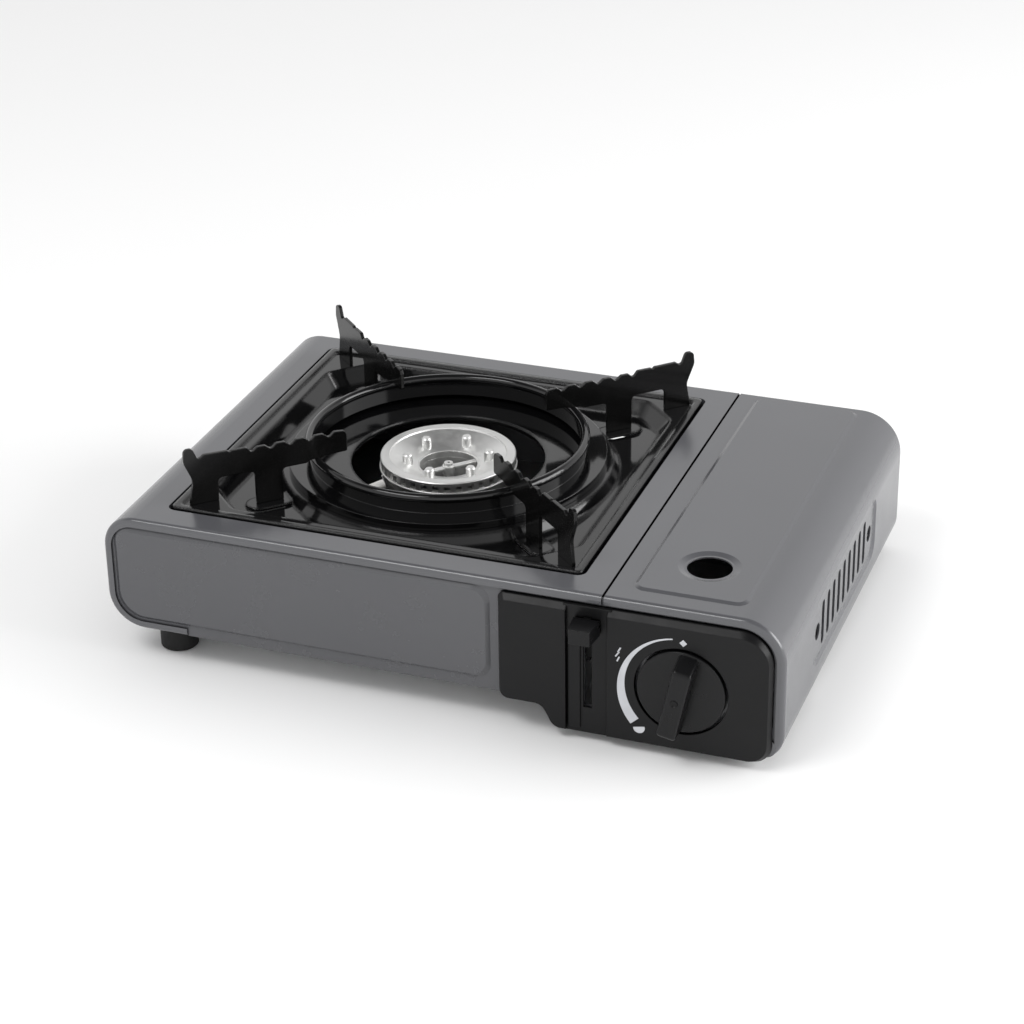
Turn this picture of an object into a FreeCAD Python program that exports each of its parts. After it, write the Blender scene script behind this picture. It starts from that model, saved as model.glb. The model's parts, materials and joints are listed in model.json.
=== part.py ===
import FreeCAD, Part
import math
import os

Vector = FreeCAD.Vector

# A butane cassette stove, in millimetres.
# X runs right along the front, Y runs to the back, Z is up and the floor is z = 0.
# Places along Y are written as a depth behind the front plane of the body.

# Driving dimensions of the whole body
body_width = 350.0
body_depth = 238.2
top_z = 78.6
sheet = 1.0
band_width = 4.3
drawn_edge_r = 2.5
left_under_z = 17.0
bay_under_z = 4.0
lid_width = 88.2
seam_gap = 1.2
seam_flange = 6.0
upper_left_r = 17.0
lower_left_r = 19.0
lid_upper_r = 22.0
lid_lower_r = 15.0
shell_return_width = 43.0
panel_sheet = 1.0
fit_gap = 0.2
weld_overlap = 0.1

# Drip pan opening in the top
opening_left = 27.8
opening_right_land = 13.9
opening_front = 16.3
opening_back_land = 14.6
opening_corner_r = 4.5
recess_depth = 5.5
ledge_width = 9.0

# Drip pan
pan_gap = 2.0
pan_rim_rise = 0.8
pan_rim_width = 3.5
pan_rim_step = 1.2
pan_shelf_width = 5.5
pan_floor_drop = 8.2
pan_wall_run = 6.0
pan_sheet = 1.0
pan_corner_step = 2.5
plateau_land = 16.65
plateau_height = 5.6
plateau_run = 3.5
pan_hole_r = 50.0
pan_hole_lip = 2.5
seat_height = 1.6
seat_length = 25.0
seat_width = 13.0

# Wind ring and pot support arms
ring_wall = 1.2
ring_inset = 14.0
ring_foot_inset = 3.0
ring_foot_height = 4.0
ring_bead_r = 2.3
ring_bead_z = 88.0
arm_thickness = 1.8
arm_overhang = 15.8
inner_leg_gap = 1.7
inner_leg_width = 14.2
outer_leg_width = 15.0
outer_leg_inset = 8.9
arm_top_z = 103.0
horn_tip_z = 108.8
arm_notch_count = 5
arm_notch_depth = 2.5

# Burner
burner_offset_x = 0.75
burner_offset_depth = 0.25
burner_top_z = 78.1
head_r = 35.1
head_lip_r = 35.6
head_height = 6.5
head_rim_width = 4.7
head_hole_r = 15.0
head_dish = 6.6
head_wall = 2.5
slot_count = 36
slot_width = 3.2
slot_height = 3.4
slot_depth = 4.4
post_count = 6
post_phase = 24.0
post_ring_r = 21.0
post_r = 2.6
post_height = 7.9
post_cap_r = 1.9
strap_width = 3.4
centre_drop = 2.4
bowl_r = 24.0
bowl_wall = 2.0
bowl_bottom_z = 22.0
bowl_cheek_z = 40.0
air_tube_wall = 2.0
bracket_half_length = 34.0
bracket_half_width = 12.0

# Gas path
tube_r = 7.5
saddle_way = 88.0
saddle_width = 26.0
tube_wall = 1.0
tube_z = 31.0
bell_r = 10.5
bell_length = 9.0
jet_left_of_knob = 26.2
jet_depth = 26.0
jet_r = 3.6
jet_bore_r = 0.5

# Knob, spindle and regulator
knob_inset = 48.8
knob_z = 37.1
knob_r = 21.6
knob_gap = 1.4
knob_lean = 12.0
knob_disc_proud = 0.8
knob_disc_thickness = 3.9
grip_width = 9.5
grip_length = 41.0
grip_height = 10.7
grip_corner_r = 1.6
spindle_r = 3.0
running_fit = 0.05
regulator_r = 20.0
regulator_front = 8.0
regulator_length = 18.0
cover_thickness = 4.0
socket_r = 9.0
socket_length = 8.0
socket_bore_r = 4.2
socket_floor = 2.0
seal_r = 5.0
seal_thickness = 1.6
cartridge_r = 33.5
cradle_lift = 1.8
rail_offset = 14.0
rail_front = 62.0
rail_back_land = 40.0
heat_plate_start = 40.0
heat_plate_width = 24.0
heat_plate_back = 32.0

# Control panel
panel_proud = 4.0
panel_wall = 2.0
control_left_inset = 52.2
control_top_gap = 1.1
control_side_gap = 1.2
control_low_left_z = 15.6
control_step_inset = 28.3
control_bevel_top = 2.6
control_bevel = 1.5
channel_inset = 17.7
channel_width = 20.6
channel_depth = 2.0
guide_strip_width = 6.0
guide_strip_rise = 0.8
lever_float = 1.2

# Lock lever and cartridge carriage
lever_inset = 7.2
lever_travel = 26.0
carriage_travel = 6.0
lever_slot_width = 4.2
stem_width = 3.6
stem_top_z = 67.4
stem_length = 22.9
stem_notch = 4.4
tab_width = 10.6
tab_height = 7.8
tab_reach = 12.0
pin_r = 1.5
pin_z = 46.0
pin_depth = 22.0
fork_depth = 48.0
fork_left = 34.0
fork_right = 32.0
fork_low_z = 11.0
fork_high_z = 56.0
fork_sheet = 1.5

# Igniter
cam_base_r = 7.0
cam_rise = 4.0
cam_sweep = 150.0
cam_clearance = 0.3
cam_thickness = 3.2
plunger_r = 1.8
piezo_r = 5.0
piezo_length = 17.0
electrode_angle = -134.0
electrode_slope = 10.0
electrode_z = 69.0
insulator_r = 2.5
insulator_length = 16.0
wire_r = 0.6
spark_gap = 1.6
lead_r = 1.2

# Feet and fasteners
foot_r = 9.6
tall_foot_inset = 28.0
short_foot_inset = 27.0
foot_inset = 20.0
screw_r = 1.6
screw_head_r = 3.2
screw_head = 1.6

# Lid hinge, vents, finger hole
hinge_pin_r = 1.25
ear_r = 5.0
hinge_inset = 9.5
hinge_angle = -46.0
wall_sweep_gap = 0.5
finger_hole_r = 10.95
finger_hole_inset = 49.3
finger_hole_depth = 43.1
finger_dish_r = 15.2
emboss_rise = 0.9
vent_front = 53.5
vent_back_land = 56.4
emboss_slope = 1.8
vent_recess = 1.0
vent_recess_slope = 1.8
vent_end_margin = 11.1
vent_middle_z = 41.0
vent_slot_count = 9
vent_slot_width = 5.2
vent_slot_length = 23.8
vent_hole_r = 4.3

# Values that follow from the driving dimensions
grip_reach = panel_proud + knob_disc_proud + grip_height
front_y = -body_depth / 2.0 + grip_reach / 2.0
left_x = -body_width / 2.0
right_x = body_width / 2.0
lid_x = right_x - lid_width
shell_right_x = lid_x - seam_gap
shell_return_x = left_x + shell_return_width
knob_x = right_x - knob_inset
jet_x = knob_x - jet_left_of_knob
control_left = lid_x - control_left_inset
control_step_x = lid_x - control_step_inset
channel_left = lid_x - channel_inset
lever_x = lid_x - lever_inset
finger_hole_x = right_x - finger_hole_inset
tall_foot_x = left_x + tall_foot_inset
short_foot_x = right_x - short_foot_inset
open_x0 = left_x + opening_left
open_x1 = shell_right_x - opening_right_land
open_d0 = opening_front
open_d1 = body_depth - opening_back_land
ledge_z = top_z - recess_depth
arm_under_z = ring_bead_z + ring_bead_r - weld_overlap
corner_x = right_x - lid_lower_r
corner_z = bay_under_z + lid_lower_r
hinge_x = corner_x + hinge_inset * math.cos(math.radians(hinge_angle))
hinge_z = corner_z + hinge_inset * math.sin(math.radians(hinge_angle))
wall_angle = math.radians(hinge_angle + 18.0)
wall_end_x = corner_x + lid_lower_r * math.cos(wall_angle) - hinge_x
wall_end_z = corner_z + lid_lower_r * math.sin(wall_angle) - hinge_z
sweep_r = math.hypot(wall_end_x, wall_end_z) + wall_sweep_gap
panel_front = sheet + fit_gap
panel_back = panel_front + panel_sheet
flange_d0 = panel_back + fit_gap
flange_d1 = body_depth - flange_d0
floor_z = left_under_z + 2.0 * sheet
bay_floor_z = bay_under_z + sheet
cartridge_z = bay_floor_z + cradle_lift + cartridge_r
socket_depth = regulator_front + regulator_length + cover_thickness
seal_depth = socket_depth + socket_floor
face_depth = -panel_proud
lever_back = face_depth + channel_depth - lever_float
control_top = top_z - band_width - control_top_gap
control_right = right_x - band_width - control_side_gap
pan_x0 = open_x0 + pan_gap
pan_x1 = open_x1 - pan_gap
pan_d0 = open_d0 + pan_gap
pan_d1 = open_d1 - pan_gap
pan_half_x = (pan_x1 - pan_x0) / 2.0
pan_half_d = (pan_d1 - pan_d0) / 2.0
pan_reach = math.hypot(pan_half_x, pan_half_d)
burner_x = (pan_x0 + pan_x1) / 2.0 + burner_offset_x
burner_depth = (pan_d0 + pan_d1) / 2.0 + burner_offset_depth
plateau_r = min(pan_half_x, pan_half_d) - plateau_land
ring_wall_r = plateau_r - ring_inset
ring_foot_r = plateau_r - ring_foot_inset
arm_slant = math.degrees(math.atan2(pan_half_d, pan_half_x))
arm_angles = (arm_slant, 180.0 - arm_slant, 180.0 + arm_slant, -arm_slant)
arm_end_s = ring_wall_r - arm_overhang
inner_leg_s0 = plateau_r + plateau_run + inner_leg_gap
inner_leg_s1 = inner_leg_s0 + inner_leg_width
outer_leg_s1 = pan_reach - outer_leg_inset
outer_leg_s0 = outer_leg_s1 - outer_leg_width
pan_corner_shelf_s = outer_leg_s0 - pan_corner_step
pan_rim_z = top_z + pan_rim_rise
pan_shelf_z = pan_rim_z - pan_rim_step
pan_floor_z = pan_shelf_z - pan_floor_drop
plateau_z = pan_floor_z + plateau_height
seat_z = pan_floor_z + seat_height
head_bottom_z = burner_top_z - head_height
divider_x = shell_right_x - opening_right_land - 5.9
tube_direction = Vector(burner_x - jet_x, burner_depth - jet_depth, 0).normalize()


# Basic solids placed by X, depth and Z
def y_at(depth):
    return front_y + depth


def at(x, depth, z):
    return Vector(x, y_at(depth), z)


def box(x0, x1, d0, d1, z0, z1):
    return Part.makeBox(x1 - x0, d1 - d0, z1 - z0, at(x0, d0, z0))


def rod_x(depth, z, radius, x0, x1):
    return Part.makeCylinder(radius, x1 - x0, at(x0, depth, z), Vector(1, 0, 0))


def rod_y(x, z, radius, d0, d1):
    return Part.makeCylinder(radius, d1 - d0, at(x, d0, z), Vector(0, 1, 0))


def rod_z(x, depth, radius, z0, z1):
    return Part.makeCylinder(radius, z1 - z0, at(x, depth, z0), Vector(0, 0, 1))


def rod_between(start, end, radius):
    return Part.makeCylinder(radius, (end - start).Length, start, end - start)


def front_place(depth):
    return lambda u, v: at(u, depth, v)


def plan_place(z):
    return lambda u, v: at(u, v, z)


def side_place(x):
    return lambda u, v: at(x, u, v)


def rounded_wire(corners, place):
    """Closed wire through (u, v, radius) corners, each turned by a tangent arc."""
    count = len(corners)
    spans = []
    for index, (u, v, radius) in enumerate(corners):
        here = Vector(u, v, 0)
        before = Vector(*corners[index - 1][:2], 0) - here
        after = Vector(*corners[(index + 1) % count][:2], 0) - here
        before.normalize()
        after.normalize()
        if radius <= 0:
            spans.append((here, None, here))
            continue
        half = before.getAngle(after) / 2.0
        reach = radius / math.tan(half)
        middle_way = (before + after).normalize()
        centre = here + middle_way * (radius / math.sin(half))
        spans.append((here + before * reach, centre - middle_way * radius, here + after * reach))
    edges = []
    for index, (start, middle, end) in enumerate(spans):
        if middle is not None:
            arc = Part.Arc(place(start.x, start.y), place(middle.x, middle.y), place(end.x, end.y))
            edges.append(arc.toShape())
        onward = spans[(index + 1) % count][0]
        if (onward - end).Length > 1e-6:
            edges.append(Part.LineSegment(place(end.x, end.y), place(onward.x, onward.y)).toShape())
    return Part.Wire(edges)


def prism(corners, place_at, low, high):
    """Outline extruded from one place to another along its normal axis."""
    wire = rounded_wire(corners, place_at(low))
    return Part.Face(wire).extrude(place_at(high)(0, 0) - place_at(low)(0, 0))


def tapered(low_corners, low_place, high_corners, high_place):
    wires = [rounded_wire(low_corners, low_place), rounded_wire(high_corners, high_place)]
    return Part.makeLoft(wires, True, True)


def rectangle(u0, u1, v0, v1, radius):
    return [(u0, v0, radius), (u1, v0, radius), (u1, v1, radius), (u0, v1, radius)]


def turned(profile, x, depth):
    """Solid of revolution about a vertical axis, from (radius, z) points."""
    points = [at(x + r, depth, z) for r, z in profile]
    face = Part.Face(Part.makePolygon(points + [points[0]]))
    return face.revolve(at(x, depth, 0), Vector(0, 0, 1), 360)


def fused(shapes):
    whole = shapes[0]
    for shape in shapes[1:]:
        whole = whole.fuse(shape)
    return whole.removeSplitter()


def polar(x, depth, radius, degrees, z):
    angle = math.radians(degrees)
    return at(x + radius * math.cos(angle), depth + radius * math.sin(angle), z)


def edges_where(shape, test):
    return [edge for edge in shape.Edges if test(edge.BoundBox)]


def soften_front_and_back(shape, skip_x):
    """Round the outline edges in the front and back planes, apart from the open side."""
    def on_end(bounds):
        flat = bounds.YLength < 1e-6
        at_end = min(abs(bounds.YMin - y_at(0)), abs(bounds.YMin - y_at(body_depth))) < 1e-6
        on_skip = bounds.XLength < 1e-6 and abs(bounds.XMin - skip_x) < 1e-6
        return flat and at_end and not on_skip and bounds.ZMax > bay_under_z + 1e-3
    return shape.makeFillet(drawn_edge_r, edges_where(shape, on_end))


# Outlines
def shell_outline(inset, right):
    return [
        (left_x + inset, left_under_z + inset, lower_left_r - inset),
        (left_x + inset, top_z - inset, upper_left_r - inset),
        (right, top_z - inset, 0),
        (right, left_under_z + inset, 0),
    ]


def lid_outline(inset, left, bottom_inset):
    return [
        (left, bay_under_z + bottom_inset, 0),
        (left, top_z - inset, 0),
        (right_x - inset, top_z - inset, lid_upper_r - inset),
        (right_x - inset, bay_under_z + bottom_inset, lid_lower_r - inset),
    ]


def opening_outline(inset):
    radius = max(opening_corner_r - inset, 1.0)
    return rectangle(open_x0 + inset, open_x1 - inset, open_d0 + inset, open_d1 - inset, radius)


def end_panel_outline(under_left, top):
    """Front or rear panel, with the step down to the cartridge bay."""
    gap = sheet + fit_gap / 2.0
    return [
        (left_x + gap, under_left, lower_left_r - gap),
        (left_x + gap, top, upper_left_r - gap),
        (right_x - gap, top, lid_upper_r - gap),
        (right_x - gap, bay_under_z + gap, lid_lower_r - gap),
        (control_step_x + 4.0, bay_under_z + gap, 6.0),
        (control_step_x - 2.0, under_left, 6.0),
    ]


def control_outline(bevel, top_bevel, corner_r):
    return [
        (control_left + bevel, control_low_left_z + bevel, 4.0),
        (control_left + bevel, control_top - top_bevel, 3.0),
        (control_right - bevel, control_top - top_bevel, corner_r),
        (control_right - bevel, bay_under_z + bevel, lid_lower_r - band_width - control_side_gap),
        (control_step_x + 4.5, bay_under_z + bevel, 6.0),
        (control_step_x - 1.5, control_low_left_z + bevel, 6.0),
    ]


def stepped_strip(x0, x1, lift, thickness, shift, d0, d1):
    """Bent strip that lies on the left floor and steps down to the bay floor."""
    upper = floor_z - sheet + lift
    lower = bay_under_z + lift
    top_x = control_step_x - 1.5 + shift
    low_x = control_step_x + 4.5 + shift
    outline = [
        (x0, upper + thickness, 0),
        (top_x + 0.8, upper + thickness, 6.0 + thickness),
        (low_x + 0.8, lower + thickness, 6.0 - thickness),
        (x1, lower + thickness, 0),
        (x1, lower, 0),
        (low_x, lower, 6.0),
        (top_x, upper, 6.0),
        (x0, upper, 0),
    ]
    return prism(outline, front_place, d0, d1)


# Body sheet metal
def make_body_shell():
    outer = prism(shell_outline(0, shell_right_x), front_place, 0, body_depth)
    outer = soften_front_and_back(outer, shell_right_x)
    inner = prism(shell_outline(sheet, shell_right_x + 1), front_place, sheet, body_depth - sheet)
    band_hole = prism(shell_outline(band_width, shell_right_x + 1), front_place, -1, body_depth + 1)
    below = box(shell_return_x, shell_right_x + 1, -1, body_depth + 1, 0, left_under_z + band_width + 1)
    shell = outer.cut(inner).cut(band_hole).cut(below)
    flange_low = top_z - seam_flange - sheet
    flange = box(shell_right_x - sheet, shell_right_x, flange_d0, flange_d1, flange_low, top_z - sheet)
    hole = prism(opening_outline(0), plan_place, ledge_z - sheet, top_z + 1)
    wall = prism(opening_outline(-sheet), plan_place, ledge_z - sheet, top_z - sheet)
    ledge_hole = prism(opening_outline(ledge_width), plan_place, ledge_z - sheet - 1, ledge_z + 1)
    ledge = prism(opening_outline(0), plan_place, ledge_z - sheet, ledge_z).cut(ledge_hole)
    return fused([shell.cut(hole), flange, wall.cut(hole), ledge])


def end_panel(d0, d1):
    """Panel plate that closes the front or the back, with its hinge lugs."""
    plate = prism(end_panel_outline(left_under_z, top_z - sheet - fit_gap / 2.0), front_place, d0, d1)
    # The plate stands above the shell's return at the lower left.
    notch_top = left_under_z + sheet + fit_gap / 2.0
    plate = plate.cut(box(left_x, shell_return_x + fit_gap, d0 - 1, d1 + 1, 0, notch_top))
    lower_left = prism(shell_outline(sheet + fit_gap / 2.0, shell_return_x), front_place, d0, d1)
    corner_box = box(left_x, shell_return_x, d0 - 1, d1 + 1, 0, top_z / 2.0)
    plate = plate.cut(corner_box.cut(lower_left))
    sweep = rod_y(hinge_x, hinge_z, sweep_r, d0 - 1, d1 + 1)
    sweep = sweep.common(box(hinge_x - 9, right_x, d0 - 1, d1 + 1, 0, hinge_z))
    lug = rod_y(hinge_x, hinge_z, lid_lower_r - sheet - hinge_inset - 0.4, d0, d1)
    plate = plate.cut(sweep).fuse(lug)
    return plate.cut(rod_y(hinge_x, hinge_z, hinge_pin_r, d0 - 1, d1 + 1))


def field_corners(inset):
    x0 = left_x + band_width + 1.3 + inset
    x1 = control_left - 5.0 - inset
    z0 = left_under_z + band_width + 1.4 + inset
    z1 = top_z - band_width - 0.8 - inset
    return [(x0, z0, lower_left_r - band_width - 1.3), (x0, z1, 8.0), (x1, z1, 8.0), (x1, z0, 8.0)]


def make_front_panel():
    plate = end_panel(panel_front, panel_back)
    field_face = -0.4
    bevel = 2.0
    outer = tapered(field_corners(0), front_place(panel_front), field_corners(bevel), front_place(field_face))
    hollow = outer.copy()
    hollow.translate(Vector(0, panel_sheet, 0))
    plate = plate.fuse(outer).cut(hollow)
    spindle_hole = rod_y(knob_x, knob_z, spindle_r + 1.0, panel_front - 1, panel_back + 1)
    half = lever_slot_width / 2.0 + 0.4
    slot = box(lever_x - half, lever_x + half, panel_front - 1, panel_back + 1,
               stem_top_z - stem_length - lever_travel - 0.6, stem_top_z + 0.6)
    return plate.cut(spindle_hole).cut(slot).removeSplitter()


def make_rear_panel():
    plate = end_panel(body_depth - panel_back, body_depth - panel_front)
    slots = []
    for row_z in (40.0, 52.0):
        for index in range(8):
            x = left_x + 60.0 + index * 18.0
            outline = rectangle(x, x + 12.0, row_z, row_z + 3.0, 1.4)
            slots.append(prism(outline, front_place, body_depth - panel_back - 1, body_depth))
    return plate.cut(Part.makeCompound(slots)).removeSplitter()


def make_base_plate():
    d0 = panel_back
    d1 = body_depth - panel_back
    plate = stepped_strip(left_x + lower_left_r, corner_x, 0.0, sheet, 0.0, d0, d1)
    ring = rod_y(corner_x, corner_z, lid_lower_r, d0, d1)
    ring = ring.cut(rod_y(corner_x, corner_z, lid_lower_r - sheet, d0, d1))
    curl = ring.common(box(corner_x, right_x, d0, d1, 0, hinge_z - 4.0))
    sweep = rod_y(hinge_x, hinge_z, sweep_r, d0, d1)
    plate = plate.fuse(curl.cut(sweep))
    slots = []
    for row in (-1, 1):
        for index in range(5):
            x = burner_x - 34.0 + index * 17.0
            depth = burner_depth + row * 62.0
            outline = rectangle(x - 2.5, x + 2.5, depth - 9, depth + 9, 2.4)
            slots.append(prism(outline, plan_place, 0, floor_z + 1))
    return plate.cut(Part.makeCompound(slots)).removeSplitter()


def make_bay_divider():
    wall = box(divider_x, divider_x + sheet, panel_back, body_depth - panel_back,
               bay_floor_z, ledge_z - sheet)
    middle = jet_depth + (jet_x - divider_x) * (burner_depth - jet_depth) / (jet_x - burner_x)
    window = box(divider_x - 1, divider_x + 2, middle - 12, middle + 12, tube_z - 10, tube_z + 10)
    strip_slot = box(divider_x - 1, divider_x + 2, heat_plate_d0 - 2, heat_plate_d1 + 2, 0, bay_floor_z + 8)
    right, left = lead_route[2], lead_route[3]
    share = (right[0] - divider_x) / (right[0] - left[0])
    lead_depth = right[1] + share * (left[1] - right[1])
    lead_z = right[2] + share * (left[2] - right[2])
    lead_hole = rod_x(lead_depth, lead_z, lead_r + 1.5, divider_x - 1, divider_x + 2)
    return wall.cut([window, strip_slot, lead_hole, make_base_plate()])


# Drip pan
def pan_outline(inset, radius):
    return rectangle(pan_x0 + inset, pan_x1 - inset, pan_d0 + inset, pan_d1 - inset, radius)


def pocket_outline(inset):
    """Pan pocket with its corners cut off square to the diagonals, to leave shelves."""
    x0 = pan_x0 + inset
    x1 = pan_x1 - inset
    d0 = pan_d0 + inset
    d1 = pan_d1 - inset
    start = pan_rim_width + pan_shelf_width
    reach = (pan_corner_shelf_s - (inset - start)) * math.sqrt(2.0)
    corners = []
    for side_x, side_d, x_first in ((x0, d0, False), (x1, d0, True), (x1, d1, False), (x0, d1, True)):
        sign_x = 1 if side_x > burner_x else -1
        sign_d = 1 if side_d > burner_depth else -1
        on_x_side = (side_x, burner_depth + sign_d * (reach - abs(side_x - burner_x)), 8.0)
        on_d_side = (burner_x + sign_x * (reach - abs(side_d - burner_depth)), side_d, 8.0)
        corners += [on_d_side, on_x_side] if x_first else [on_x_side, on_d_side]
    return corners


def leg_seat(degrees):
    """Raised oval under an inner leg."""
    middle = polar(burner_x, burner_depth, (inner_leg_s0 + inner_leg_s1) / 2.0, degrees, pan_floor_z - 1.5)
    half = seat_width / 2.0
    straight = seat_length / 2.0 - seat_width / 2.0
    along = Vector(math.cos(math.radians(degrees)), math.sin(math.radians(degrees)), 0)
    across = Vector(-along.y, along.x, 0)
    a = middle + along * straight
    b = middle - along * straight
    edges = [
        Part.Arc(a + across * -half, a + along * half, a + across * half).toShape(),
        Part.LineSegment(a + across * half, b + across * half).toShape(),
        Part.Arc(b + across * half, b - along * half, b + across * -half).toShape(),
        Part.LineSegment(b + across * -half, a + across * -half).toShape(),
    ]
    return Part.Face(Part.Wire(edges)).extrude(Vector(0, 0, seat_z - pan_floor_z + 1.5))


def make_drip_pan():
    base_z = pan_floor_z - 10
    block = prism(pan_outline(0, opening_corner_r - pan_gap), plan_place, base_z, pan_rim_z)
    rim_pocket = tapered(pan_outline(pan_rim_width + 0.8, 2.0), plan_place(pan_shelf_z),
                         pan_outline(pan_rim_width - 0.8, 3.0), plan_place(pan_rim_z + 0.8))
    start = pan_rim_width + pan_shelf_width
    slope = pan_wall_run / pan_floor_drop
    pocket = tapered(pocket_outline(start + pan_wall_run), plan_place(pan_floor_z),
                     pocket_outline(start - slope), plan_place(pan_shelf_z + 1.0))
    centre = at(burner_x, burner_depth, base_z)
    drum = Part.makeCylinder(plateau_r + plateau_run, pan_floor_z - base_z, centre)
    cone = Part.makeCone(plateau_r + plateau_run, plateau_r, plateau_height,
                         at(burner_x, burner_depth, pan_floor_z))
    block = block.cut(rim_pocket).cut(pocket).fuse([drum, cone])
    for degrees in arm_angles:
        block = block.fuse(leg_seat(degrees))
    lowered = block.copy()
    lowered.translate(Vector(0, 0, -pan_sheet))
    skin = block.cut(lowered)
    skirt = prism(pan_outline(0, opening_corner_r - pan_gap), plan_place,
                  ledge_z, pan_rim_z - pan_sheet / 2.0)
    skirt = skirt.cut(prism(pan_outline(pan_sheet, opening_corner_r - pan_gap - pan_sheet), plan_place,
                            ledge_z - 1, pan_rim_z))
    hole = rod_z(burner_x, burner_depth, pan_hole_r, base_z - 2, pan_rim_z)
    lip = rod_z(burner_x, burner_depth, pan_hole_r + pan_sheet, plateau_z - pan_hole_lip, plateau_z - 0.5)
    return fused([skin.cut(hole), skirt, lip.cut(hole)])


def make_support_ring():
    wall = turned([
        (ring_wall_r - ring_wall, plateau_z + ring_foot_height - ring_wall),
        (ring_foot_r - ring_wall, plateau_z + ring_foot_height - ring_wall),
        (ring_foot_r - ring_wall, plateau_z),
        (ring_foot_r, plateau_z),
        (ring_foot_r, plateau_z + ring_foot_height),
        (ring_wall_r, plateau_z + ring_foot_height),
        (ring_wall_r, ring_bead_z),
        (ring_wall_r - ring_wall, ring_bead_z),
    ], burner_x, burner_depth)
    bead = Part.makeTorus(ring_wall_r, ring_bead_r, at(burner_x, burner_depth, ring_bead_z))
    return fused([wall, bead])


def arm_outline():
    """Side view of one arm as (distance from the burner axis, z, corner radius)."""
    under = arm_under_z
    foot = outer_leg_s1
    outline = [
        (arm_end_s, under + 1.2, 1.0), (ring_wall_r - ring_bead_r - 2.0, under + 1.0, 1.0),
        (ring_wall_r - ring_bead_r, under, 0.5), (ring_wall_r + ring_bead_r + 1.0, under, 0.5),
        (ring_wall_r + ring_bead_r + 4.0, under - 1.3, 1.5), (inner_leg_s0, under - 1.3, 2.5),
        (inner_leg_s0, seat_z, 0.6), (inner_leg_s1, seat_z, 0.6), (inner_leg_s1, under, 3.0),
        (outer_leg_s0, under + 0.4, 3.0), (outer_leg_s0, pan_shelf_z, 0.6), (foot, pan_shelf_z, 0.6),
        (foot - 2.3, under + 1.0, 8.0), (foot + 2.2, arm_top_z - 1.0, 6.0), (foot + 1.6, horn_tip_z, 2.4),
        (foot - 2.9, horn_tip_z, 2.0), (foot - 5.6, arm_top_z - 1.0, 1.6), (foot - 8.6, arm_top_z + 1.4, 1.5),
        (foot - 21.0, arm_top_z + 1.1, 0.8), (foot - 22.0, arm_top_z + 0.2, 0.5),
        (foot - 23.2, arm_top_z + 0.8, 0.8), (foot - 31.0, arm_top_z + 0.8, 1.5),
    ]
    outer_notch = foot - 33.6
    pitch = (outer_notch - arm_end_s - 9.2) / (arm_notch_count - 1)
    for index in range(arm_notch_count):
        middle = outer_notch - index * pitch
        outline.append((middle, arm_top_z - arm_notch_depth, 1.4))
        outline.append((middle - 0.26 * pitch, arm_top_z, 1.2))
        outline.append((middle - 0.68 * pitch, arm_top_z, 1.5))
    outline[-1] = (arm_end_s + 1.0, arm_top_z - 0.4, 1.2)
    outline.append((arm_end_s, arm_top_z - 3.0, 2.0))
    return outline


def make_support_arm(degrees):
    outline = prism(arm_outline(), lambda depth: lambda u, v: Vector(u, depth, v),
                    -arm_thickness / 2.0, arm_thickness / 2.0)
    outline.rotate(Vector(0, 0, 0), Vector(0, 0, 1), degrees)
    outline.translate(at(burner_x, burner_depth, 0))
    return outline


# Burner
def make_burner_head():
    outer = head_r
    rim_in = head_r - head_rim_width
    low = burner_top_z - head_dish
    head = turned([
        (head_hole_r, low - 3.0), (head_hole_r + 2.0, low - 3.0), (rim_in - 0.4, head_bottom_z + 1.6),
        (outer - head_wall, head_bottom_z + 1.6), (outer - head_wall, head_bottom_z),
        (head_lip_r, head_bottom_z), (head_lip_r, head_bottom_z + 0.8), (outer, head_bottom_z + 1.0),
        (outer, burner_top_z - 0.5), (outer - 0.5, burner_top_z), (rim_in, burner_top_z),
        (rim_in - 0.3, burner_top_z - 0.8), (head_hole_r + 1.2, low), (head_hole_r, low + 0.3),
    ], burner_x, burner_depth)
    parts = []
    for index in range(post_count):
        angle = post_phase + index * 360.0 / post_count
        foot = polar(burner_x, burner_depth, post_ring_r, angle, low - 1.5)
        parts.append(Part.makeCylinder(post_r, post_height, foot))
        parts.append(Part.makeCone(post_r, post_cap_r, 0.8, foot + Vector(0, 0, post_height)))
    head = head.fuse(parts)
    slots = []
    for index in range(slot_count):
        slot = Part.makeBox(slot_depth + 1.0, slot_width, slot_height,
                            Vector(outer - slot_depth, -slot_width / 2.0, head_bottom_z + 1.6))
        slot.rotate(Vector(0, 0, 0), Vector(0, 0, 1), index * 360.0 / slot_count)
        slot.translate(at(burner_x, burner_depth, 0))
        slots.append(slot)
    return head.cut(Part.makeCompound(slots)).removeSplitter()


def make_burner_bowl():
    cup_r = head_r - head_wall + 1.3
    tube_in = head_hole_r
    tube_out = head_hole_r + air_tube_wall
    top = head_bottom_z
    low = burner_top_z - head_dish - 3.0
    bowl = turned([
        (tube_in, bowl_bottom_z), (bowl_r, bowl_bottom_z), (bowl_r, bowl_cheek_z), (cup_r, top - 3.6),
        (cup_r, top), (cup_r - bowl_wall + 0.3, top), (cup_r - bowl_wall + 0.3, top - 3.0),
        (bowl_r - bowl_wall, bowl_cheek_z + 1.0), (bowl_r - bowl_wall, bowl_bottom_z + bowl_wall),
        (tube_out, bowl_bottom_z + bowl_wall), (tube_out, low), (tube_in, low),
    ], burner_x, burner_depth)
    middle = at(burner_x, burner_depth, tube_z)
    inlet = rod_between(middle - tube_direction * (bowl_r + 2), middle - tube_direction * (tube_out + 1),
                        tube_r - tube_wall)
    return bowl.cut(inlet)


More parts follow.
